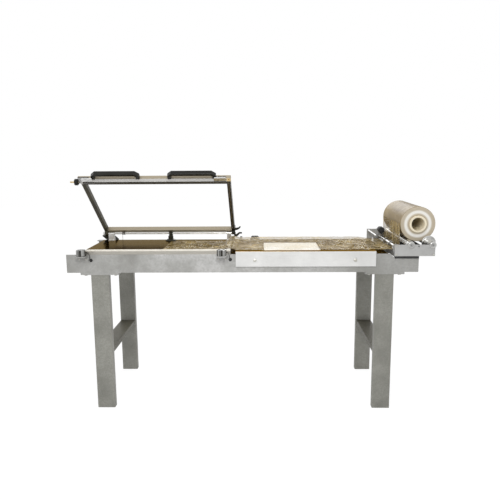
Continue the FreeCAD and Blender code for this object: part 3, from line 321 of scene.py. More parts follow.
def moulding(name, color, worn, roughness=0.25, coat=0.3):
    """Glossy moulded plastic with a fine grain and rubbed patches."""
    made = Finish(name, Coat_Roughness=0.15, Specular_IOR_Level=0.3)
    grain = made.noise(700, 2)
    rubbed = made.noise(18, 4, 0.65).ramp(0.5, 0.75)
    made.set("Base Color", made.mix(rubbed * 0.5, color, worn))
    made.set("Roughness", roughness + rubbed * 0.15 + grain * 0.06)
    made.set("Coat Weight", coat)
    made.bump(grain, 0.08, 0.0003)
    return made


def rubber(name, color, dusty, roughness=0.7):
    """Dull rubber with a little dust."""
    made = Finish(name)
    dust = made.noise(60, 4, 0.7).ramp(0.45, 0.75)
    grain = made.noise(1200, 2)
    made.set("Base Color", made.mix(dust * 0.5, color, dusty))
    made.set("Roughness", roughness + grain * 0.1)
    made.bump(grain + dust * 0.3, 0.15, 0.0004)
    return made


def turned_plates(name, color, dark):
    """Bright plate of the two magnets: upright bands of painted reflection round each."""
    made = Finish(name, metallic=1.0)
    across = made.axis("X")
    right = across.above((MAGNETS[0][0] + MAGNETS[1][0]) / 2)
    away = across - (right * (MAGNETS[1][0] - MAGNETS[0][0]) + MAGNETS[0][0])
    back = made.axis("Y") - MAGNETS[0][1]
    turn = Value(made, made.add("ShaderNodeMath", {"operation": "ARCTAN2"}, {0: back, 1: away}).outputs[0])
    # Painted reflection: light and dark upright bands by the angle round each magnet's axis.
    bands = (turn * 5.0).sine() * 0.5 + (turn * 11.0 + 1.3).sine() * 0.35 + 0.5
    clouds = made.noise(40, 3)
    made.set("Base Color", made.mix(bands.ramp(0.15, 0.75), dark, color))
    made.set("Roughness", 0.16 + clouds * 0.14)
    made.bump(clouds, 0.05, 0.0003)
    return made


def roller_plate(name, color, dark):
    """Bright turned rollers: fine rings and a dark centre on their ends."""
    made = Finish(name, metallic=1.0)
    across = made.axis("X")
    right = across.above((ROLLERS[0] + ROLLERS[1]) / 2)
    away = across - (right * (ROLLERS[1] - ROLLERS[0]) + ROLLERS[0])
    up = made.axis("Z") - ROLLER_HEIGHT
    radius = Value(made, made.add("ShaderNodeMath", {"operation": "SQRT"}, {
        0: away * away + up * up}).outputs[0])
    centre = 1 - radius.ramp(0.0026, 0.0032)
    rim = radius.ramp(0.0062, 0.0066) * (1 - radius.ramp(0.0074, 0.0078))
    rings = (radius * 5200.0).sine() * 0.5 + 0.5
    clouds = made.noise(30, 3, 0.6, vector=made.stretched((1, 0.2, 1)))
    tone = made.mix(clouds.ramp(0.4, 0.7) * 0.7, color, dark)
    tone = made.mix(rings * 0.18, tone, dark)
    tone = made.mix((centre + rim).clipped() * 0.8, tone, grey(0.05))
    made.set("Base Color", tone)
    made.set("Roughness", 0.18 + clouds * 0.16)
    made.bump(rings * 0.3 + clouds, 0.04, 0.0002)
    return made


def banded(name, axis, limit, above, below, metallic_above=1.0, metallic_below=0.0):
    """Two finishes on one piece, split at a height along an axis of the open frame."""
    made = Finish(name)
    height = axis(made)
    upper = height.ramp(limit - 0.0004, limit + 0.0004)
    clouds = made.noise(60, 3)
    tone = made.mix(upper, below, above)
    made.set("Base Color", made.mix(clouds.ramp(0.5, 0.8) * 0.3, tone, grey(0.2)))
    made.set("Metallic", upper * (metallic_above - metallic_below) + metallic_below)
    made.set("Roughness", 0.3 + clouds * 0.15)
    made.bump(clouds, 0.08, 0.0003)
    return made


def frame_height(made):
    """Height above the sealing face of the open frame, in metres."""
    return (made.axis("Y") - HINGE.y) * math.sin(OPEN) + (made.axis("Z") - HINGE.z) * math.cos(OPEN)


def clear_film(name, thin, thick):
    """Clear film with a golden cast: milky where it lies doubled, with painted highlights along its creases and
    painted glints.
    """
    made = Finish(name, IOR=1.08, Specular_Tint=(0.75, 0.62, 0.38, 1))
    creases = made.cells(26, "DISTANCE_TO_EDGE", made.stretched((1, 0.45, 1), (0, 0, 0.5)))
    milk = made.noise(9, 5, 0.65, 0.6)
    fine = made.noise(60, 3, 0.6)
    # The crease lines are painted highlights: they lighten the colour and raise the opacity along the creases.
    line = 1 - creases.ramp(0.0, 0.03)
    cast = made.mix(milk.ramp(0.38, 0.62), (0.25, 0.17, 0.055), (0.60, 0.46, 0.21))
    # Painted glints: small pale highlights, also made more opaque.
    painted_glints = made.noise(34, 4, 0.7, 0.8, made.stretched((1, 0.5, 1))).ramp(0.60, 0.68)
    cast = made.mix(painted_glints * 0.75, cast, (0.95, 0.90, 0.76))
    made.set("Base Color", made.mix(line * 0.5, cast, (0.92, 0.86, 0.70)))
    made.set("Roughness", 0.12 + fine * 0.16)
    over_panel = made.axis("X").ramp(0.112, 0.122) * (1 - made.axis("X").ramp(0.408, 0.42))
    over_panel = over_panel * (1 - made.axis("Y").ramp(-0.04, -0.01))
    body = milk.ramp(0.3, 0.7) * (thick - thin) + thin + line * 0.25 + painted_glints * 0.4
    made.set("Alpha", (body * (1 - over_panel * 0.75)).clipped())
    made.bump(fine + line * 0.7, 0.35, 0.0012)
    return made


def wound_film():
    """Film wound on its core: clear gold layers on the flank with painted glints, pale rings on the ends."""
    made = Finish("wound_film", Specular_IOR_Level=0.12, Coat_Roughness=0.2)
    across = made.axis("X") - ROLL_CENTRE[0]
    up = made.axis("Z") - ROLL_CENTRE[1]
    radius = Value(made, made.add("ShaderNodeMath", {"operation": "SQRT"}, {
        0: across * across + up * up}).outputs[0])
    rings = (radius * 2600.0 + made.noise(30, 2) * 5.0).sine() * 0.5 + 0.5
    pale = radius.ramp(0.052, 0.060) * (1 - radius.ramp(0.068, 0.076))
    end = made.mix(radius.ramp(0.046, 0.052), (0.44, 0.37, 0.26), (0.50, 0.44, 0.34))
    end = made.mix(pale, end, (0.86, 0.85, 0.81))
    end = made.mix(rings * 0.22, end, (0.44, 0.36, 0.25))
    flank_mask = radius.ramp(0.0905, 0.0915)
    streaks = made.noise(7, 4, 0.6, 0.4, made.stretched((1, 0.25, 1)))
    bands = made.noise(22, 3, 0.6, 0.2, made.stretched((0.6, 2.4, 0.6)))
    # Painted glints: small pale highlights on the flank.
    painted_glints = made.noise(48, 3, 0.7, 0.5, made.stretched((1, 0.4, 1))).ramp(0.66, 0.72)
    flank = made.mix(streaks.ramp(0.35, 0.68), (0.17, 0.118, 0.05), (0.36, 0.275, 0.145))
    flank = made.mix(bands.ramp(0.58, 0.74) * 0.5, flank, (0.52, 0.43, 0.27))
    flank = made.mix(painted_glints * 0.8, flank, (0.85, 0.80, 0.66))
    made.set("Base Color", made.mix(flank_mask, end, flank))
    made.set("Roughness", 0.34 + streaks * 0.2)
    made.set("Coat Weight", 0.04)
    made.bump(bands + rings * 0.15, 0.25, 0.0015)
    return made


# The rails' enamel carries painted shade, darker towards both ends of the table.
silver_paint = hammered_paint("silver_hammer_enamel", (0.50, 0.497, 0.485), (0.27, 0.268, 0.25), painted_end_shade=(-0.2, 0.9))
leg_paint = hammered_paint("leg_hammer_enamel", (0.30, 0.297, 0.265), (0.19, 0.188, 0.165))
brace_paint = hammered_paint("brace_hammer_enamel", (0.10, 0.093, 0.062), (0.055, 0.05, 0.034))
deck_steel = polished_deck()
bar_aluminium = brushed("bar_aluminium", (0.58, 0.55, 0.49), (0.42, 0.40, 0.36))
frame_beige = brushed("frame_beige", (0.42, 0.37, 0.28), (0.33, 0.29, 0.22), roughness=0.4)
frame_grey = plain_enamel("frame_grey", (0.50, 0.49, 0.47), (0.42, 0.41, 0.39))
dark_enamel = plain_enamel("dark_arm_enamel", (0.022, 0.020, 0.013), (0.04, 0.036, 0.024), 0.2)
olive_enamel = plain_enamel("olive_arm_enamel", (0.075, 0.068, 0.042), (0.035, 0.031, 0.02), 0.2)
nickel = plated("nickel_plate", (0.60, 0.60, 0.59), (0.28, 0.275, 0.265))
post_plate = plated("post_plate", (0.80, 0.80, 0.79), (0.60, 0.60, 0.59), 0.25)
black_gloss = moulding("black_gloss_moulding", (0.006, 0.006, 0.004), (0.018, 0.018, 0.014), 0.26, 0.04)
black_matt = moulding("black_matt_moulding", (0.02, 0.02, 0.02), (0.045, 0.045, 0.045), 0.45, 0.0)
white_moulding = moulding("white_moulding", (0.80, 0.79, 0.76), (0.66, 0.64, 0.58), 0.4, 0.1)
black_rubber = rubber("black_rubber", (0.018, 0.018, 0.018), (0.07, 0.066, 0.06))
white_silicone = rubber("white_silicone", (0.74, 0.71, 0.64), (0.58, 0.53, 0.43), 0.5)
light_enamel = folded_sheet()
dispenser_enamel = plain_enamel("dispenser_enamel", (0.44, 0.44, 0.43), (0.36, 0.36, 0.35))
brass = plated("turned_brass", (0.72, 0.56, 0.30), (0.48, 0.36, 0.18), 0.25)
spring_steel = brushed("spring_steel", (0.42, 0.41, 0.39), (0.22, 0.21, 0.2), (1, 1, 1), 0.35)
zinc = plated("zinc_plate", (0.66, 0.65, 0.60), (0.48, 0.46, 0.40), 0.35)
panel_laminate = plain_enamel("panel_laminate", (0.80, 0.77, 0.68), (0.74, 0.68, 0.54))
iron_laminations = brushed("iron_laminations", (0.12, 0.11, 0.10), (0.05, 0.045, 0.04), (1, 1, 90), 0.5)
glass_tape = rubber("glass_fibre_tape", (0.022, 0.019, 0.014), (0.06, 0.05, 0.035), 0.45)
cardboard = rubber("wound_board", (0.80, 0.72, 0.55), (0.84, 0.78, 0.64), 0.85)
dial_grey = plain_enamel("dial_grey", (0.56, 0.56, 0.54), (0.46, 0.46, 0.44))
lead_sheath = rubber("lead_sheath", (0.02, 0.018, 0.016), (0.05, 0.045, 0.04), 0.45)
armature_steel = banded("armature_steel", frame_height, 0.0006, (0.05, 0.047, 0.042),
                        (0.80, 0.80, 0.79), 0.2, 1.0)
roller_steel = roller_plate("roller_steel", (0.78, 0.78, 0.76), (0.34, 0.335, 0.32))
magnet_plate = turned_plates("magnet_plate", (0.50, 0.50, 0.48), (0.045, 0.042, 0.036))
film_clear = clear_film("clear_film", 0.22, 0.62)
film_wound = wound_film()


FINISH_OF = {
    silver_paint: ("front_rail", "rear_rail", "cross_channels", "leg_head_plates",
                   "magnet_brackets", "dispenser_base_bars"),
    leg_paint: ("legs",),
    brace_paint: ("side_braces",),
    deck_steel: ("top_plate",),
    bar_aluminium: ("lower_seal_bars",),
    frame_beige: ("front_bar", "rear_tube", "corner_block"),
    frame_grey: ("seal_profiles",),
    dark_enamel: ("side_bar", "stop_lever", "switch_fingers", "centre_post"),
    olive_enamel: ("left_arm",),
    magnet_plate: ("magnets",),
    roller_steel: ("roller_left", "roller_right", "stop_disc_front", "stop_disc_rear"),
    nickel: ("film_guide_rod", "perforator", "guide_rods"),
    post_plate: ("hinge_posts", "hinge_shaft"),
    armature_steel: ("armatures",),
    black_gloss: ("timer_knob", "tension_knob", "bar_handles"),
    black_matt: ("switch_plunger", "timer_unit"),
    white_moulding: ("limit_switch",),
    lead_sheath: ("magnet_leads", "frame_lead"),
    black_rubber: ("lead_grommets", "stop_buffer", "press_roller"),
    white_silicone: ("silicone_pads",),
    light_enamel: ("packing_plate",),
    dispenser_enamel: ("dispenser_front_plate", "dispenser_rear_plate", "guide_brackets"),
    brass: ("corner_terminal", "tension_rod"),
    spring_steel: ("return_spring", "tension_spring", "seal_wire"),
    zinc: ("frame_bolts", "flange_screws", "guide_bushes"),
    panel_laminate: ("slide_panel",),
    iron_laminations: ("seal_transformer",),
    glass_tape: ("seal_insulators",),
    cardboard: ("film_core",),
    film_wound: ("film_winding",),
    film_clear: ("film_web",),
}
for finish, names in FINISH_OF.items():
    for name in names:
        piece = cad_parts[name]
        piece.data.materials.clear()
        piece.data.materials.append(finish.material)

# ---------------------------------------------------------------- modelling tools


def start_piece(name):
    """Names the primitive that was just added and leaves it in object mode."""
    piece = bpy.context.object
    piece.name = name
    piece.data.name = name
    return piece


def finish_piece(piece, body, finish, smooth=35):
    """Applies place and modifiers, smooths, and sets the finish and the body."""
    bpy.ops.object.select_all(action="DESELECT")
    piece.select_set(True)
    bpy.context.view_layer.objects.active = piece
    bpy.ops.object.transform_apply(location=True, rotation=True, scale=True)
    for modifier in list(piece.modifiers):
        bpy.ops.object.modifier_apply(modifier=modifier.name)
    bpy.ops.object.shade_smooth_by_angle(angle=math.radians(smooth))
    piece.data.materials.clear()
    piece.data.materials.append(finish.material)
    if body:
        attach(piece, body)
    return piece


def select_faces(piece, wanted):
    """In edit mode, selects just the faces whose centre and normal pass the test."""
    bpy.ops.mesh.select_mode(type="FACE")
    bpy.ops.mesh.select_all(action="DESELECT")
    bpy.ops.object.mode_set(mode="OBJECT")
    for face in piece.data.polygons:
        face.select = wanted(face.center, face.normal)
    bpy.ops.object.mode_set(mode="EDIT")


def select_edges(piece, wanted):
    """In edit mode, selects just the edges whose two ends pass the test."""
    bpy.ops.mesh.select_mode(type="EDGE")
    bpy.ops.mesh.select_all(action="DESELECT")
    bpy.ops.object.mode_set(mode="OBJECT")
    corners = piece.data.vertices
    for edge in piece.data.edges:
        edge.select = wanted(corners[edge.vertices[0]].co, corners[edge.vertices[1]].co)
    bpy.ops.object.mode_set(mode="EDIT")


def cap_of(height):
    """A test for the flat end face at a height of the piece's own Z."""
    return lambda centre, normal: abs(centre.z - height) < 1e-6 and abs(normal.z) > 0.9


def ring_at(height, radius):
    """A test for edges that run round the axis at a height and radius."""
    def test(first, second):
        return all(abs(end.z - height) < 1e-6 and abs(math.hypot(end.x, end.y) - radius) < 1e-4
                   for end in (first, second))
    return test


def join_pieces(name, pieces):
    """Joins separate objects into one piece with loose parts."""
    bpy.ops.object.select_all(action="DESELECT")
    for piece in pieces:
        piece.select_set(True)
    bpy.context.view_layer.objects.active = pieces[0]
    if len(pieces) > 1:
        bpy.ops.object.join()
    return start_piece(name)


def copies(master, placements):
    """One copy of the master, with its own mesh, at each placement; the master is removed."""
    made = []
    for placement in placements:
        copy = master.copy()
        copy.data = master.data.copy()
        bpy.context.scene.collection.objects.link(copy)
        copy.data.transform(placement)
        made.append(copy)
    bpy.data.objects.remove(master)
    return made


FRAME_TURN = Matrix.Translation(HINGE) @ Matrix.Rotation(-OPEN, 4, "X")
AIM_FRONT = Matrix.Rotation(math.radians(90), 4, "X")
AIM_REAR = Matrix.Rotation(math.radians(-90), 4, "X")
AIM_RIGHT = Matrix.Rotation(math.radians(90), 4, "Y")


def round_headed_screw(radius, height, shank_radius, shank_length):
    """A round-headed socket screw standing on the origin, head up, shank down."""
    bpy.ops.object.select_all(action="DESELECT")
    bpy.ops.mesh.primitive_cylinder_add(vertices=24, radius=radius, depth=height,
                                        location=(0, 0, height / 2))
    piece = start_piece("screw")
    bpy.ops.object.transform_apply(location=True)
    bpy.ops.object.mode_set(mode="EDIT")
    select_edges(piece, ring_at(height, radius))
    bpy.ops.mesh.bevel(offset=height * 0.7, segments=4, profile=0.6)
    select_faces(piece, cap_of(height))
    bpy.ops.mesh.inset(thickness=(radius - height * 0.7) * 0.3)
    bpy.ops.mesh.extrude_region_move(TRANSFORM_OT_translate={"value": (0, 0, -height * 0.5)})
    select_faces(piece, cap_of(0))
    bpy.ops.mesh.inset(thickness=radius - shank_radius)
    bpy.ops.mesh.extrude_region_move(TRANSFORM_OT_translate={"value": (0, 0, -shank_length)})
    bpy.ops.object.mode_set(mode="OBJECT")
    return piece


def hexagon_screw(across, height):
    """A hexagon head with a washer under it, standing on the origin."""
    bpy.ops.object.select_all(action="DESELECT")
    radius = across / math.sqrt(3)
    bpy.ops.mesh.primitive_cylinder_add(vertices=6, radius=radius, depth=height,
                                        location=(0, 0, height / 2 + 0.0008))
    head = start_piece("hexagon_head")
    bpy.ops.object.transform_apply(location=True)
    bpy.ops.object.mode_set(mode="EDIT")
    select_faces(head, cap_of(height + 0.0008))
    bpy.ops.mesh.bevel(offset=height * 0.16, segments=2)
    bpy.ops.object.mode_set(mode="OBJECT")
    bpy.ops.mesh.primitive_cylinder_add(vertices=28, radius=across * 0.78, depth=0.0008,
                                        location=(0, 0, 0.0004))
    washer = start_piece("washer")
    bpy.ops.object.transform_apply(location=True)
    bpy.ops.object.mode_set(mode="EDIT")
    select_edges(washer, ring_at(0.0008, across * 0.78))
    bpy.ops.mesh.bevel(offset=0.0003, segments=2)
    bpy.ops.object.mode_set(mode="OBJECT")
    return join_pieces("hexagon_screw", [head, washer])


# ---------------------------------------------------------------- screws


def make_screws():
    """The small screws that hold the handles, posts, brackets and end plates."""
    master = round_headed_screw(0.0055, 0.0034, 0.0029, 0.034)
    handle_places = [FRAME_TURN @ Matrix.Translation((x / 1000, -0.537, 0.023)) @ AIM_REAR
                     for x in (-797, -555, -387, -145)]
    piece = join_pieces("handle_screws", copies(master, handle_places))
    finish_piece(piece, "sealing_frame", zinc)

    master = hexagon_screw(0.007, 0.0034)
    places = [Matrix.Translation((x, y, 0.851)) for x in (-0.8275, -0.0955) for y in (0.2455, 0.2745)]
    places += [Matrix.Translation((-0.4575 + 0.0275 * math.cos(a), 0.25 + 0.0275 * math.sin(a), 0.8512))
               for a in (math.radians(210), math.radians(330), math.radians(90))]
    piece = join_pieces("post_screws", copies(master, places))
    finish_piece(piece, "table", zinc)

    master = round_headed_screw(0.004, 0.0026, 0.002, 0.002)
    places = [Matrix.Translation((x + step, -0.304, 0.829)) @ AIM_FRONT
              for x in (-0.834, -0.102) for step in (-0.017, 0.017)]
    places += [Matrix.Translation((x, -0.306, 0.8947)) @ AIM_FRONT for x in (0.8045, 0.9945)]
    places += [Matrix.Translation((x, -0.306, 0.849)) @ AIM_FRONT for x in (0.8045, 0.9945)]
    piece = join_pieces("small_screws", copies(master, places))
    finish_piece(piece, "table", zinc)


make_screws()

# ---------------------------------------------------------------- springs


def wire_piece(name, points, radius, sides=10):
    """Round wire along a smooth line through the points."""
    line = bpy.data.curves.new(name, "CURVE")
    line.dimensions = "3D"
    line.bevel_depth = radius
    line.bevel_resolution = max(1, sides // 4)
    line.resolution_u = 6
    line.use_fill_caps = True
    spline = line.splines.new("NURBS")
    spline.points.add(len(points) - 1)
    for point, place in zip(spline.points, points):
        point.co = (*place, 1)
    spline.order_u = 3
    spline.use_endpoint_u = True
    holder = bpy.data.objects.new(name, line)
    bpy.context.scene.collection.objects.link(holder)
    bpy.ops.object.select_all(action="DESELECT")
    holder.select_set(True)
    bpy.context.view_layer.objects.active = holder
    bpy.ops.object.convert(target="MESH")
    return start_piece(name)


def make_return_spring():
    """Torsion spring round the hinge shaft; one end on the table, the other on the open frame."""
    mean, wire, pitch, turns = 0.0072, 0.0011, 0.0033, 6
    left = -0.762
    points = [(left, HINGE.y + mean, DECK_TOP + 0.0004), (left, HINGE.y + mean, 0.868),
              (left, HINGE.y + mean, 0.884)]
    steps = 12
    for i in range(1, turns * steps):
        angle = 2 * math.pi * i / steps
        points.append((left + pitch * i / steps, HINGE.y + mean * math.cos(angle),
                       HINGE.z + mean * math.sin(angle)))
    right = left + pitch * turns
    points += [(right, HINGE.y + mean, 0.892),
               on_frame(right * 1000, 2.7, 17), on_frame(right * 1000, 2.7, 26)]
    piece = wire_piece("hinge_spring", points, wire)
    finish_piece(piece, None, spring_steel, 60)
    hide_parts("return_spring")
    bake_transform(piece)


def make_knob_spring():
    """Compression spring between the frame's bar and the tensioner's knob."""
    mean, wire, pitch, turns = 6.2, 1.2, 2.9, 3.5
    steps = 12
    points = []
    for i in range(round(turns * steps) + 1):
        angle = 2 * math.pi * i / steps
        points.append(on_frame(-875.7 + pitch * i / steps, -547 + mean * math.cos(angle),
                               2 + mean * math.sin(angle)))
    piece = wire_piece("knob_spring", points, wire / 1000)
    finish_piece(piece, "tensioner", spring_steel, 60)
    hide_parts("tension_spring")


make_return_spring()
make_knob_spring()

# ---------------------------------------------------------------- dispenser tray


def make_tray():
    """Tray on the base bars under the rollers, with its long edges turned up, in matt black as painted shade."""
    low, high = Vector((0.852, -0.300, 0.8537)), Vector((1.000, 0.2475, 0.8552))
    bpy.ops.object.select_all(action="DESELECT")
    bpy.ops.mesh.primitive_cube_add(size=1, location=(low + high) / 2)
    tray = start_piece("dispenser_tray")
    tray.scale = high - low
    bpy.ops.object.transform_apply(location=True, scale=True)
    bpy.ops.object.mode_set(mode="EDIT")
    select_faces(tray, cap_of(high.z))
    bpy.ops.mesh.inset(thickness=0.0015)
    select_faces(tray, lambda centre, normal: abs(centre.z - high.z) < 1e-6 and normal.z > 0.9
                 and abs(centre.x - (low.x + high.x) / 2) < 0.07 and abs(centre.y - low.y) > 0.002
                 and abs(centre.y - high.y) > 0.002)
    bpy.ops.mesh.select_all(action="INVERT")
    bpy.ops.object.mode_set(mode="OBJECT")
    for face in tray.data.polygons:
        face.select = face.select and face.normal.z > 0.9
    bpy.ops.object.mode_set(mode="EDIT")
    bpy.ops.mesh.extrude_region_move(TRANSFORM_OT_translate={"value": (0, 0, 0.006)})
    bpy.ops.object.mode_set(mode="OBJECT")
    soft = tray.modifiers.new("soft_edges", "BEVEL")
    soft.width = 0.0004
    soft.segments = 2
    # Matt black: painted shade under the rollers.
    finish_piece(tray, "table", black_matt)


def make_gap_shade_strip():
    """Black rubber strip in the gap between the front end plate and the stepped rail, put there as painted shadow.
    """
    low, high = Vector((0.797, -0.3057, 0.8298)), Vector((0.9215, -0.2995, 0.8416))
    bpy.ops.object.select_all(action="DESELECT")
    bpy.ops.mesh.primitive_cube_add(size=1, location=(low + high) / 2)
    strip = start_piece("gap_shade_strip")
    strip.scale = high - low
    bpy.ops.object.transform_apply(location=True, scale=True)
    bpy.ops.object.mode_set(mode="EDIT")
    select_faces(strip, lambda centre, normal: normal.y < -0.9)
    bpy.ops.mesh.inset(thickness=0.0026)
    bpy.ops.transform.translate(value=(0, 0.0012, 0))
    bpy.ops.object.mode_set(mode="OBJECT")
    soft = strip.modifiers.new("soft_edges", "BEVEL")
    soft.width = 0.0005
    soft.segments = 2
    finish_piece(strip, "table", black_rubber)


make_tray()
make_gap_shade_strip()

# ---------------------------------------------------------------- timer dial


def make_timer_dial():
    """A pale ring round the timer knob with eleven raised marks."""
    bpy.ops.object.select_all(action="DESELECT")
    centre = (0.065, 0.250)
    bpy.ops.mesh.primitive_cylinder_add(vertices=72, radius=0.043, depth=0.0014,
                                        location=(0, 0, DECK_TOP + 0.0007))
    ring = start_piece("timer_dial")
    bpy.ops.object.transform_apply(location=True)
    bpy.ops.object.mode_set(mode="EDIT")
    select_edges(ring, ring_at(DECK_TOP + 0.0014, 0.043))
    bpy.ops.mesh.bevel(offset=0.0008, segments=3)
    for height, way in ((DECK_TOP + 0.0014, -1), (DECK_TOP, 1)):
        select_faces(ring, cap_of(height))
        bpy.ops.mesh.inset(thickness=0.0382 if way < 0 else 0.039)
        bpy.ops.mesh.delete(type="FACE")
    bpy.ops.mesh.select_mode(type="EDGE")
    bpy.ops.mesh.select_all(action="DESELECT")
    bpy.ops.mesh.select_non_manifold()
    bpy.ops.mesh.bridge_edge_loops()
    bpy.ops.object.mode_set(mode="OBJECT")
    ring.data.transform(Matrix.Translation((*centre, 0)))
    finish_piece(ring, "table", dial_grey)

    bpy.ops.object.select_all(action="DESELECT")
    bpy.ops.mesh.primitive_cube_add(size=1, location=(0.0385, 0, DECK_TOP + 0.0015))
    mark = start_piece("mark")
    mark.scale = (0.006, 0.0011, 0.0005)
    bpy.ops.object.transform_apply(location=True, scale=True)
    bpy.ops.object.mode_set(mode="EDIT")
    bpy.ops.mesh.bevel(offset=0.0001, segments=1)
    bpy.ops.object.mode_set(mode="OBJECT")
    places = [Matrix.Translation((*centre, 0)) @ Matrix.Rotation(math.radians(a), 4, "Z")
              for a in range(-225, 46, 27)]
    marks = join_pieces("timer_marks", copies(mark, places))
    finish_piece(marks, "table", black_matt)


make_timer_dial()

# ---------------------------------------------------------------- film

# the film's way over the table, as (X, Z): over the deck, the side pad, the plate, and under the wheels
FILM_TABLE = [(-0.446, 0.8474), (-0.112, 0.8474), (-0.085, 0.8797), (-0.053, 0.8797), (-0.026, 0.8717),
              (0.690, 0.8717), (0.728, 0.8664), (0.760, 0.8621)]
TURN_ROD = (0.838, 0.8689)
TURN_RADIUS = 0.0068
# creases, as from (X, Y) to (X, Y), half width and height
CREASES = [
    (-0.40, -0.24, -0.22, 0.14, 0.022, 0.009), (-0.33, 0.16, -0.12, -0.05, 0.018, 0.007),
    (-0.42, 0.05, -0.30, 0.19, 0.025, 0.008), (-0.25, -0.26, -0.13, -0.14, 0.015, 0.006),
    (-0.18, -0.02, -0.12, 0.17, 0.014, 0.005), (0.02, -0.26, 0.10, 0.00, 0.016, 0.005),
    (0.40, -0.25, 0.47, 0.10, 0.020, 0.006), (0.48, -0.20, 0.60, 0.02, 0.017, 0.008),
    (0.56, -0.26, 0.63, -0.10, 0.014, 0.009), (0.63, -0.10, 0.68, -0.26, 0.012, 0.009),
    (0.60, 0.02, 0.69, 0.16, 0.016, 0.006), (0.52, 0.06, 0.64, -0.05, 0.013, 0.006),
    (0.30, 0.02, 0.42, 0.17, 0.02, 0.005), (0.16, -0.02, 0.26, 0.16, 0.02, 0.005),
]


def film_route():
    """Points of the film's way, with its turn round the rod and its rise to the roll."""
    points = [Vector((x, 0, z)) for x, z in FILM_TABLE]
    for degrees in range(-90, 1, 10):
        angle = math.radians(degrees)
        points.append(Vector((TURN_ROD[0] + math.cos(angle) * TURN_RADIUS, 0,
                              TURN_ROD[1] + math.sin(angle) * TURN_RADIUS)))
    points.append(Vector((ROLL_CENTRE[0] - 0.0936, 0, ROLL_CENTRE[1])))
    return points


def crease_height(x, y):
    """Height of the creases at a place on the table."""
    height = 0.0
    for x0, y0, x1, y1, half, tall in CREASES:
        run = Vector((x1 - x0, y1 - y0))
        at = max(0.0, min(1.0, (Vector((x - x0, y - y0)).dot(run)) / run.length_squared))
        away = (Vector((x, y)) - Vector((x0, y0)) - run * at).length
        if away < half:
            height = max(height, tall * (1 - away / half) ** 1.5 * (0.4 + 0.6 * math.sin(math.pi * at)))
    return height


def make_wound_film():
    """The winding: layers that stand in and out at the ends, and a slightly loose flank."""
    low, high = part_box("film_winding")
    length = high.y - low.y
    radius = (high.x - low.x) / 2 - 0.0006
    bore = 0.0451
    bpy.ops.object.select_all(action="DESELECT")
    bpy.ops.mesh.primitive_cylinder_add(vertices=144, radius=radius, depth=length - 0.003,
                                        location=(0, 0, 0))
    piece = start_piece("film_layers")
    end = length / 2 - 0.0015
    bpy.ops.object.mode_set(mode="EDIT")
    select_edges(piece, lambda first, second: abs(first.z - second.z) > length / 2)
    bpy.ops.mesh.subdivide(number_cuts=44)
    for side in (1, -1):
        height = end * side
        reach = radius
        select_faces(piece, cap_of(height))
        stand = 0.0
        for width, step in ((0.0022, 0.0008), (0.0060, -0.0006), (0.0075, 0.0009), (0.0050, -0.0007),
                            (0.0085, 0.0006), (0.0070, -0.0010), (0.0050, 0.0006)):
            bpy.ops.mesh.inset(thickness=width)
            bpy.ops.transform.translate(value=(0, 0, step * side))
            reach -= width
            stand += step
        bpy.ops.mesh.inset(thickness=reach - bore)
        bpy.ops.mesh.delete(type="FACE")
    bpy.ops.mesh.select_mode(type="EDGE")
    bpy.ops.mesh.select_all(action="DESELECT")
    bpy.ops.mesh.select_non_manifold()
    bpy.ops.mesh.bridge_edge_loops()
    bpy.ops.object.mode_set(mode="OBJECT")
    for vertex in piece.data.vertices:
        if math.hypot(vertex.co.x, vertex.co.y) > radius - 0.001 and abs(vertex.co.z) < end - 0.001:
            turn = math.atan2(vertex.co.y, vertex.co.x)
            ripple = noise.noise(Vector((math.cos(turn) * 3, math.sin(turn) * 3, vertex.co.z * 16)))
            crease = noise.noise(Vector((math.cos(turn) * 9, math.sin(turn) * 9, vertex.co.z * 5 + 4)))
            shrink = 1 - (abs(ripple) * 0.0009 + abs(crease) * 0.0006) / radius
            vertex.co.x *= shrink
            vertex.co.y *= shrink
    middle = (low + high) / 2
    piece.data.transform(Matrix.Translation(middle) @ AIM_FRONT)
    bpy.ops.object.mode_set(mode="EDIT")
    bpy.ops.mesh.select_all(action="SELECT")
    bpy.ops.mesh.normals_make_consistent(inside=False)
    bpy.ops.object.mode_set(mode="OBJECT")
    finish_piece(piece, "film_roll", film_wound, 30)
    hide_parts("film_winding")


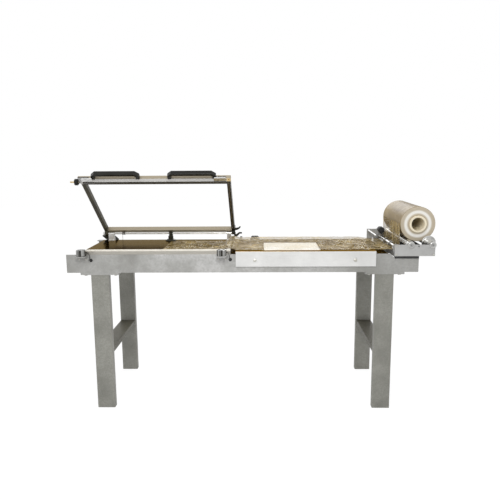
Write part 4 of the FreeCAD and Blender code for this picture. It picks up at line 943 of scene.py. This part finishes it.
def make_film_sheet():
    """The folded film from the sealing bars to the roll, slack and creased on the table."""
    route = film_route()
    lengths = [0.0]
    for before, after in zip(route, route[1:]):
        lengths.append(lengths[-1] + (after - before).length)
    whole = lengths[-1]
    bpy.ops.object.select_all(action="DESELECT")
    bpy.ops.mesh.primitive_grid_add(x_subdivisions=260, y_subdivisions=90, size=1, location=(0, 0, 0))
    piece = start_piece("film_sheet")
    for vertex in piece.data.vertices:
        along = (vertex.co.x + 0.5) * whole
        across = vertex.co.y + 0.5
        step = 0
        while step < len(lengths) - 2 and lengths[step + 1] < along:
            step += 1
        share = (along - lengths[step]) / (lengths[step + 1] - lengths[step])
        place = route[step].lerp(route[step + 1], share)
        narrow = max(0.0, min(1.0, (place.x - 0.66) / 0.12)) if along < lengths[7] + 0.01 else 1.0
        narrow = narrow * narrow * (3 - 2 * narrow)
        front = -0.272 + 0.067 * narrow
        back = 0.195 + 0.010 * narrow
        y = front + (back - front) * across
        slack = max(0.0, min(1.0, (0.735 - place.x) / 0.06))
        if -0.13 < place.x < -0.02:
            slack *= 0.05
        if place.x < -0.40:
            y += 0.012 * noise.noise(Vector((place.x * 25, y * 14, 3))) * (-0.40 - place.x) / 0.046
        ripple = abs(noise.noise(Vector((place.x * 9, y * 7, 1)))) * 0.004
        ripple += abs(noise.noise(Vector((place.x * 30, y * 18, 5)))) * 0.0015
        lift = (crease_height(place.x, y) + ripple) * slack
        vertex.co = Vector((place.x, y, place.z + lift))
    solid = piece.modifiers.new("thickness", "SOLIDIFY")
    solid.thickness = 0.00025
    solid.offset = 0
    finish_piece(piece, "table", film_clear, 60)
    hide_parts("film_web")
    return piece


make_wound_film()
make_film_sheet()

# ---------------------------------------------------------------- stage


def make_stage():
    bpy.ops.mesh.primitive_plane_add(size=24, location=(0, 0, 0))
    floor = bpy.context.object
    floor.name = "studio_floor"
    paper = Finish("white_floor", (0.9, 0.9, 0.9), 0.9)
    ways = paper.add("ShaderNodeLightPath")
    seen = Value(paper, ways.outputs["Is Camera Ray"])
    glow = paper.add("ShaderNodeEmission", {}, {"Color": (1, 1, 1), "Strength": 1.08})
    blend = paper.add("ShaderNodeMixShader", {}, {
        0: seen * 0.86, 1: paper.surface.outputs[0], 2: glow.outputs[0]})
    output = [n for n in paper.tree.nodes if n.type == "OUTPUT_MATERIAL"][0]
    paper.tree.links.new(blend.outputs[0], output.inputs["Surface"])
    floor.data.materials.append(paper.material)

    world = bpy.data.worlds.new("studio")
    bpy.context.scene.world = world
    world.use_nodes = True
    tree = world.node_tree
    tree.nodes.clear()
    ways = tree.nodes.new("ShaderNodeLightPath")
    seen = tree.nodes.new("ShaderNodeMath")
    seen.operation = "MAXIMUM"
    tree.links.new(ways.outputs["Is Camera Ray"], seen.inputs[0])
    through = tree.nodes.new("ShaderNodeMath")
    through.operation = "MAXIMUM"
    tree.links.new(ways.outputs["Is Transmission Ray"], through.inputs[0])
    tree.links.new(ways.outputs["Is Glossy Ray"], through.inputs[1])
    tree.links.new(through.outputs[0], seen.inputs[1])
    backdrop = tree.nodes.new("ShaderNodeBackground")
    backdrop.inputs["Color"].default_value = (1, 1, 1, 1)
    backdrop.inputs["Strength"].default_value = 1.0
    fill = tree.nodes.new("ShaderNodeBackground")
    fill.inputs["Color"].default_value = (1, 1, 1, 1)
    fill.inputs["Strength"].default_value = 0.60
    both = tree.nodes.new("ShaderNodeMixShader")
    tree.links.new(seen.outputs[0], both.inputs[0])
    tree.links.new(fill.outputs[0], both.inputs[1])
    tree.links.new(backdrop.outputs[0], both.inputs[2])
    output = tree.nodes.new("ShaderNodeOutputWorld")
    tree.links.new(both.outputs[0], output.inputs["Surface"])

    for name, place, size, power in (
            ("key_light", (-0.1, -2.3, 2.3), 1.1, 38), ("side_light", (-3.0, -1.0, 2.2), 1.6, 6),
            ("back_light", (0.5, 3.0, 2.6), 2.0, 40)):
        lamp = bpy.data.lights.new(name, "AREA")
        lamp.energy = power
        lamp.size = size
        holder = bpy.data.objects.new(name, lamp)
        bpy.context.scene.collection.objects.link(holder)
        holder.location = place
        holder.rotation_euler = (Vector((0, 0, 0.8)) - Vector(place)).to_track_quat("-Z", "Y").to_euler()


def make_camera():
    camera = bpy.data.cameras.new("camera")
    camera.sensor_width = 36
    camera.lens = 39.92
    camera.clip_end = 100
    holder = bpy.data.objects.new("camera", camera)
    bpy.context.scene.collection.objects.link(holder)
    yaw, pitch, roll = math.radians(-1.178), math.radians(9.601), math.radians(0.403)
    holder.location = (0.1036, -3.1495, 1.3583)
    turn = Euler((math.radians(90) - pitch, 0, -yaw)).to_matrix() @ Matrix.Rotation(-roll, 3, "Z")
    holder.rotation_euler = turn.to_euler()
    bpy.context.scene.camera = holder
    bpy.context.scene.view_settings.view_transform = "Standard"


make_stage()
make_camera()
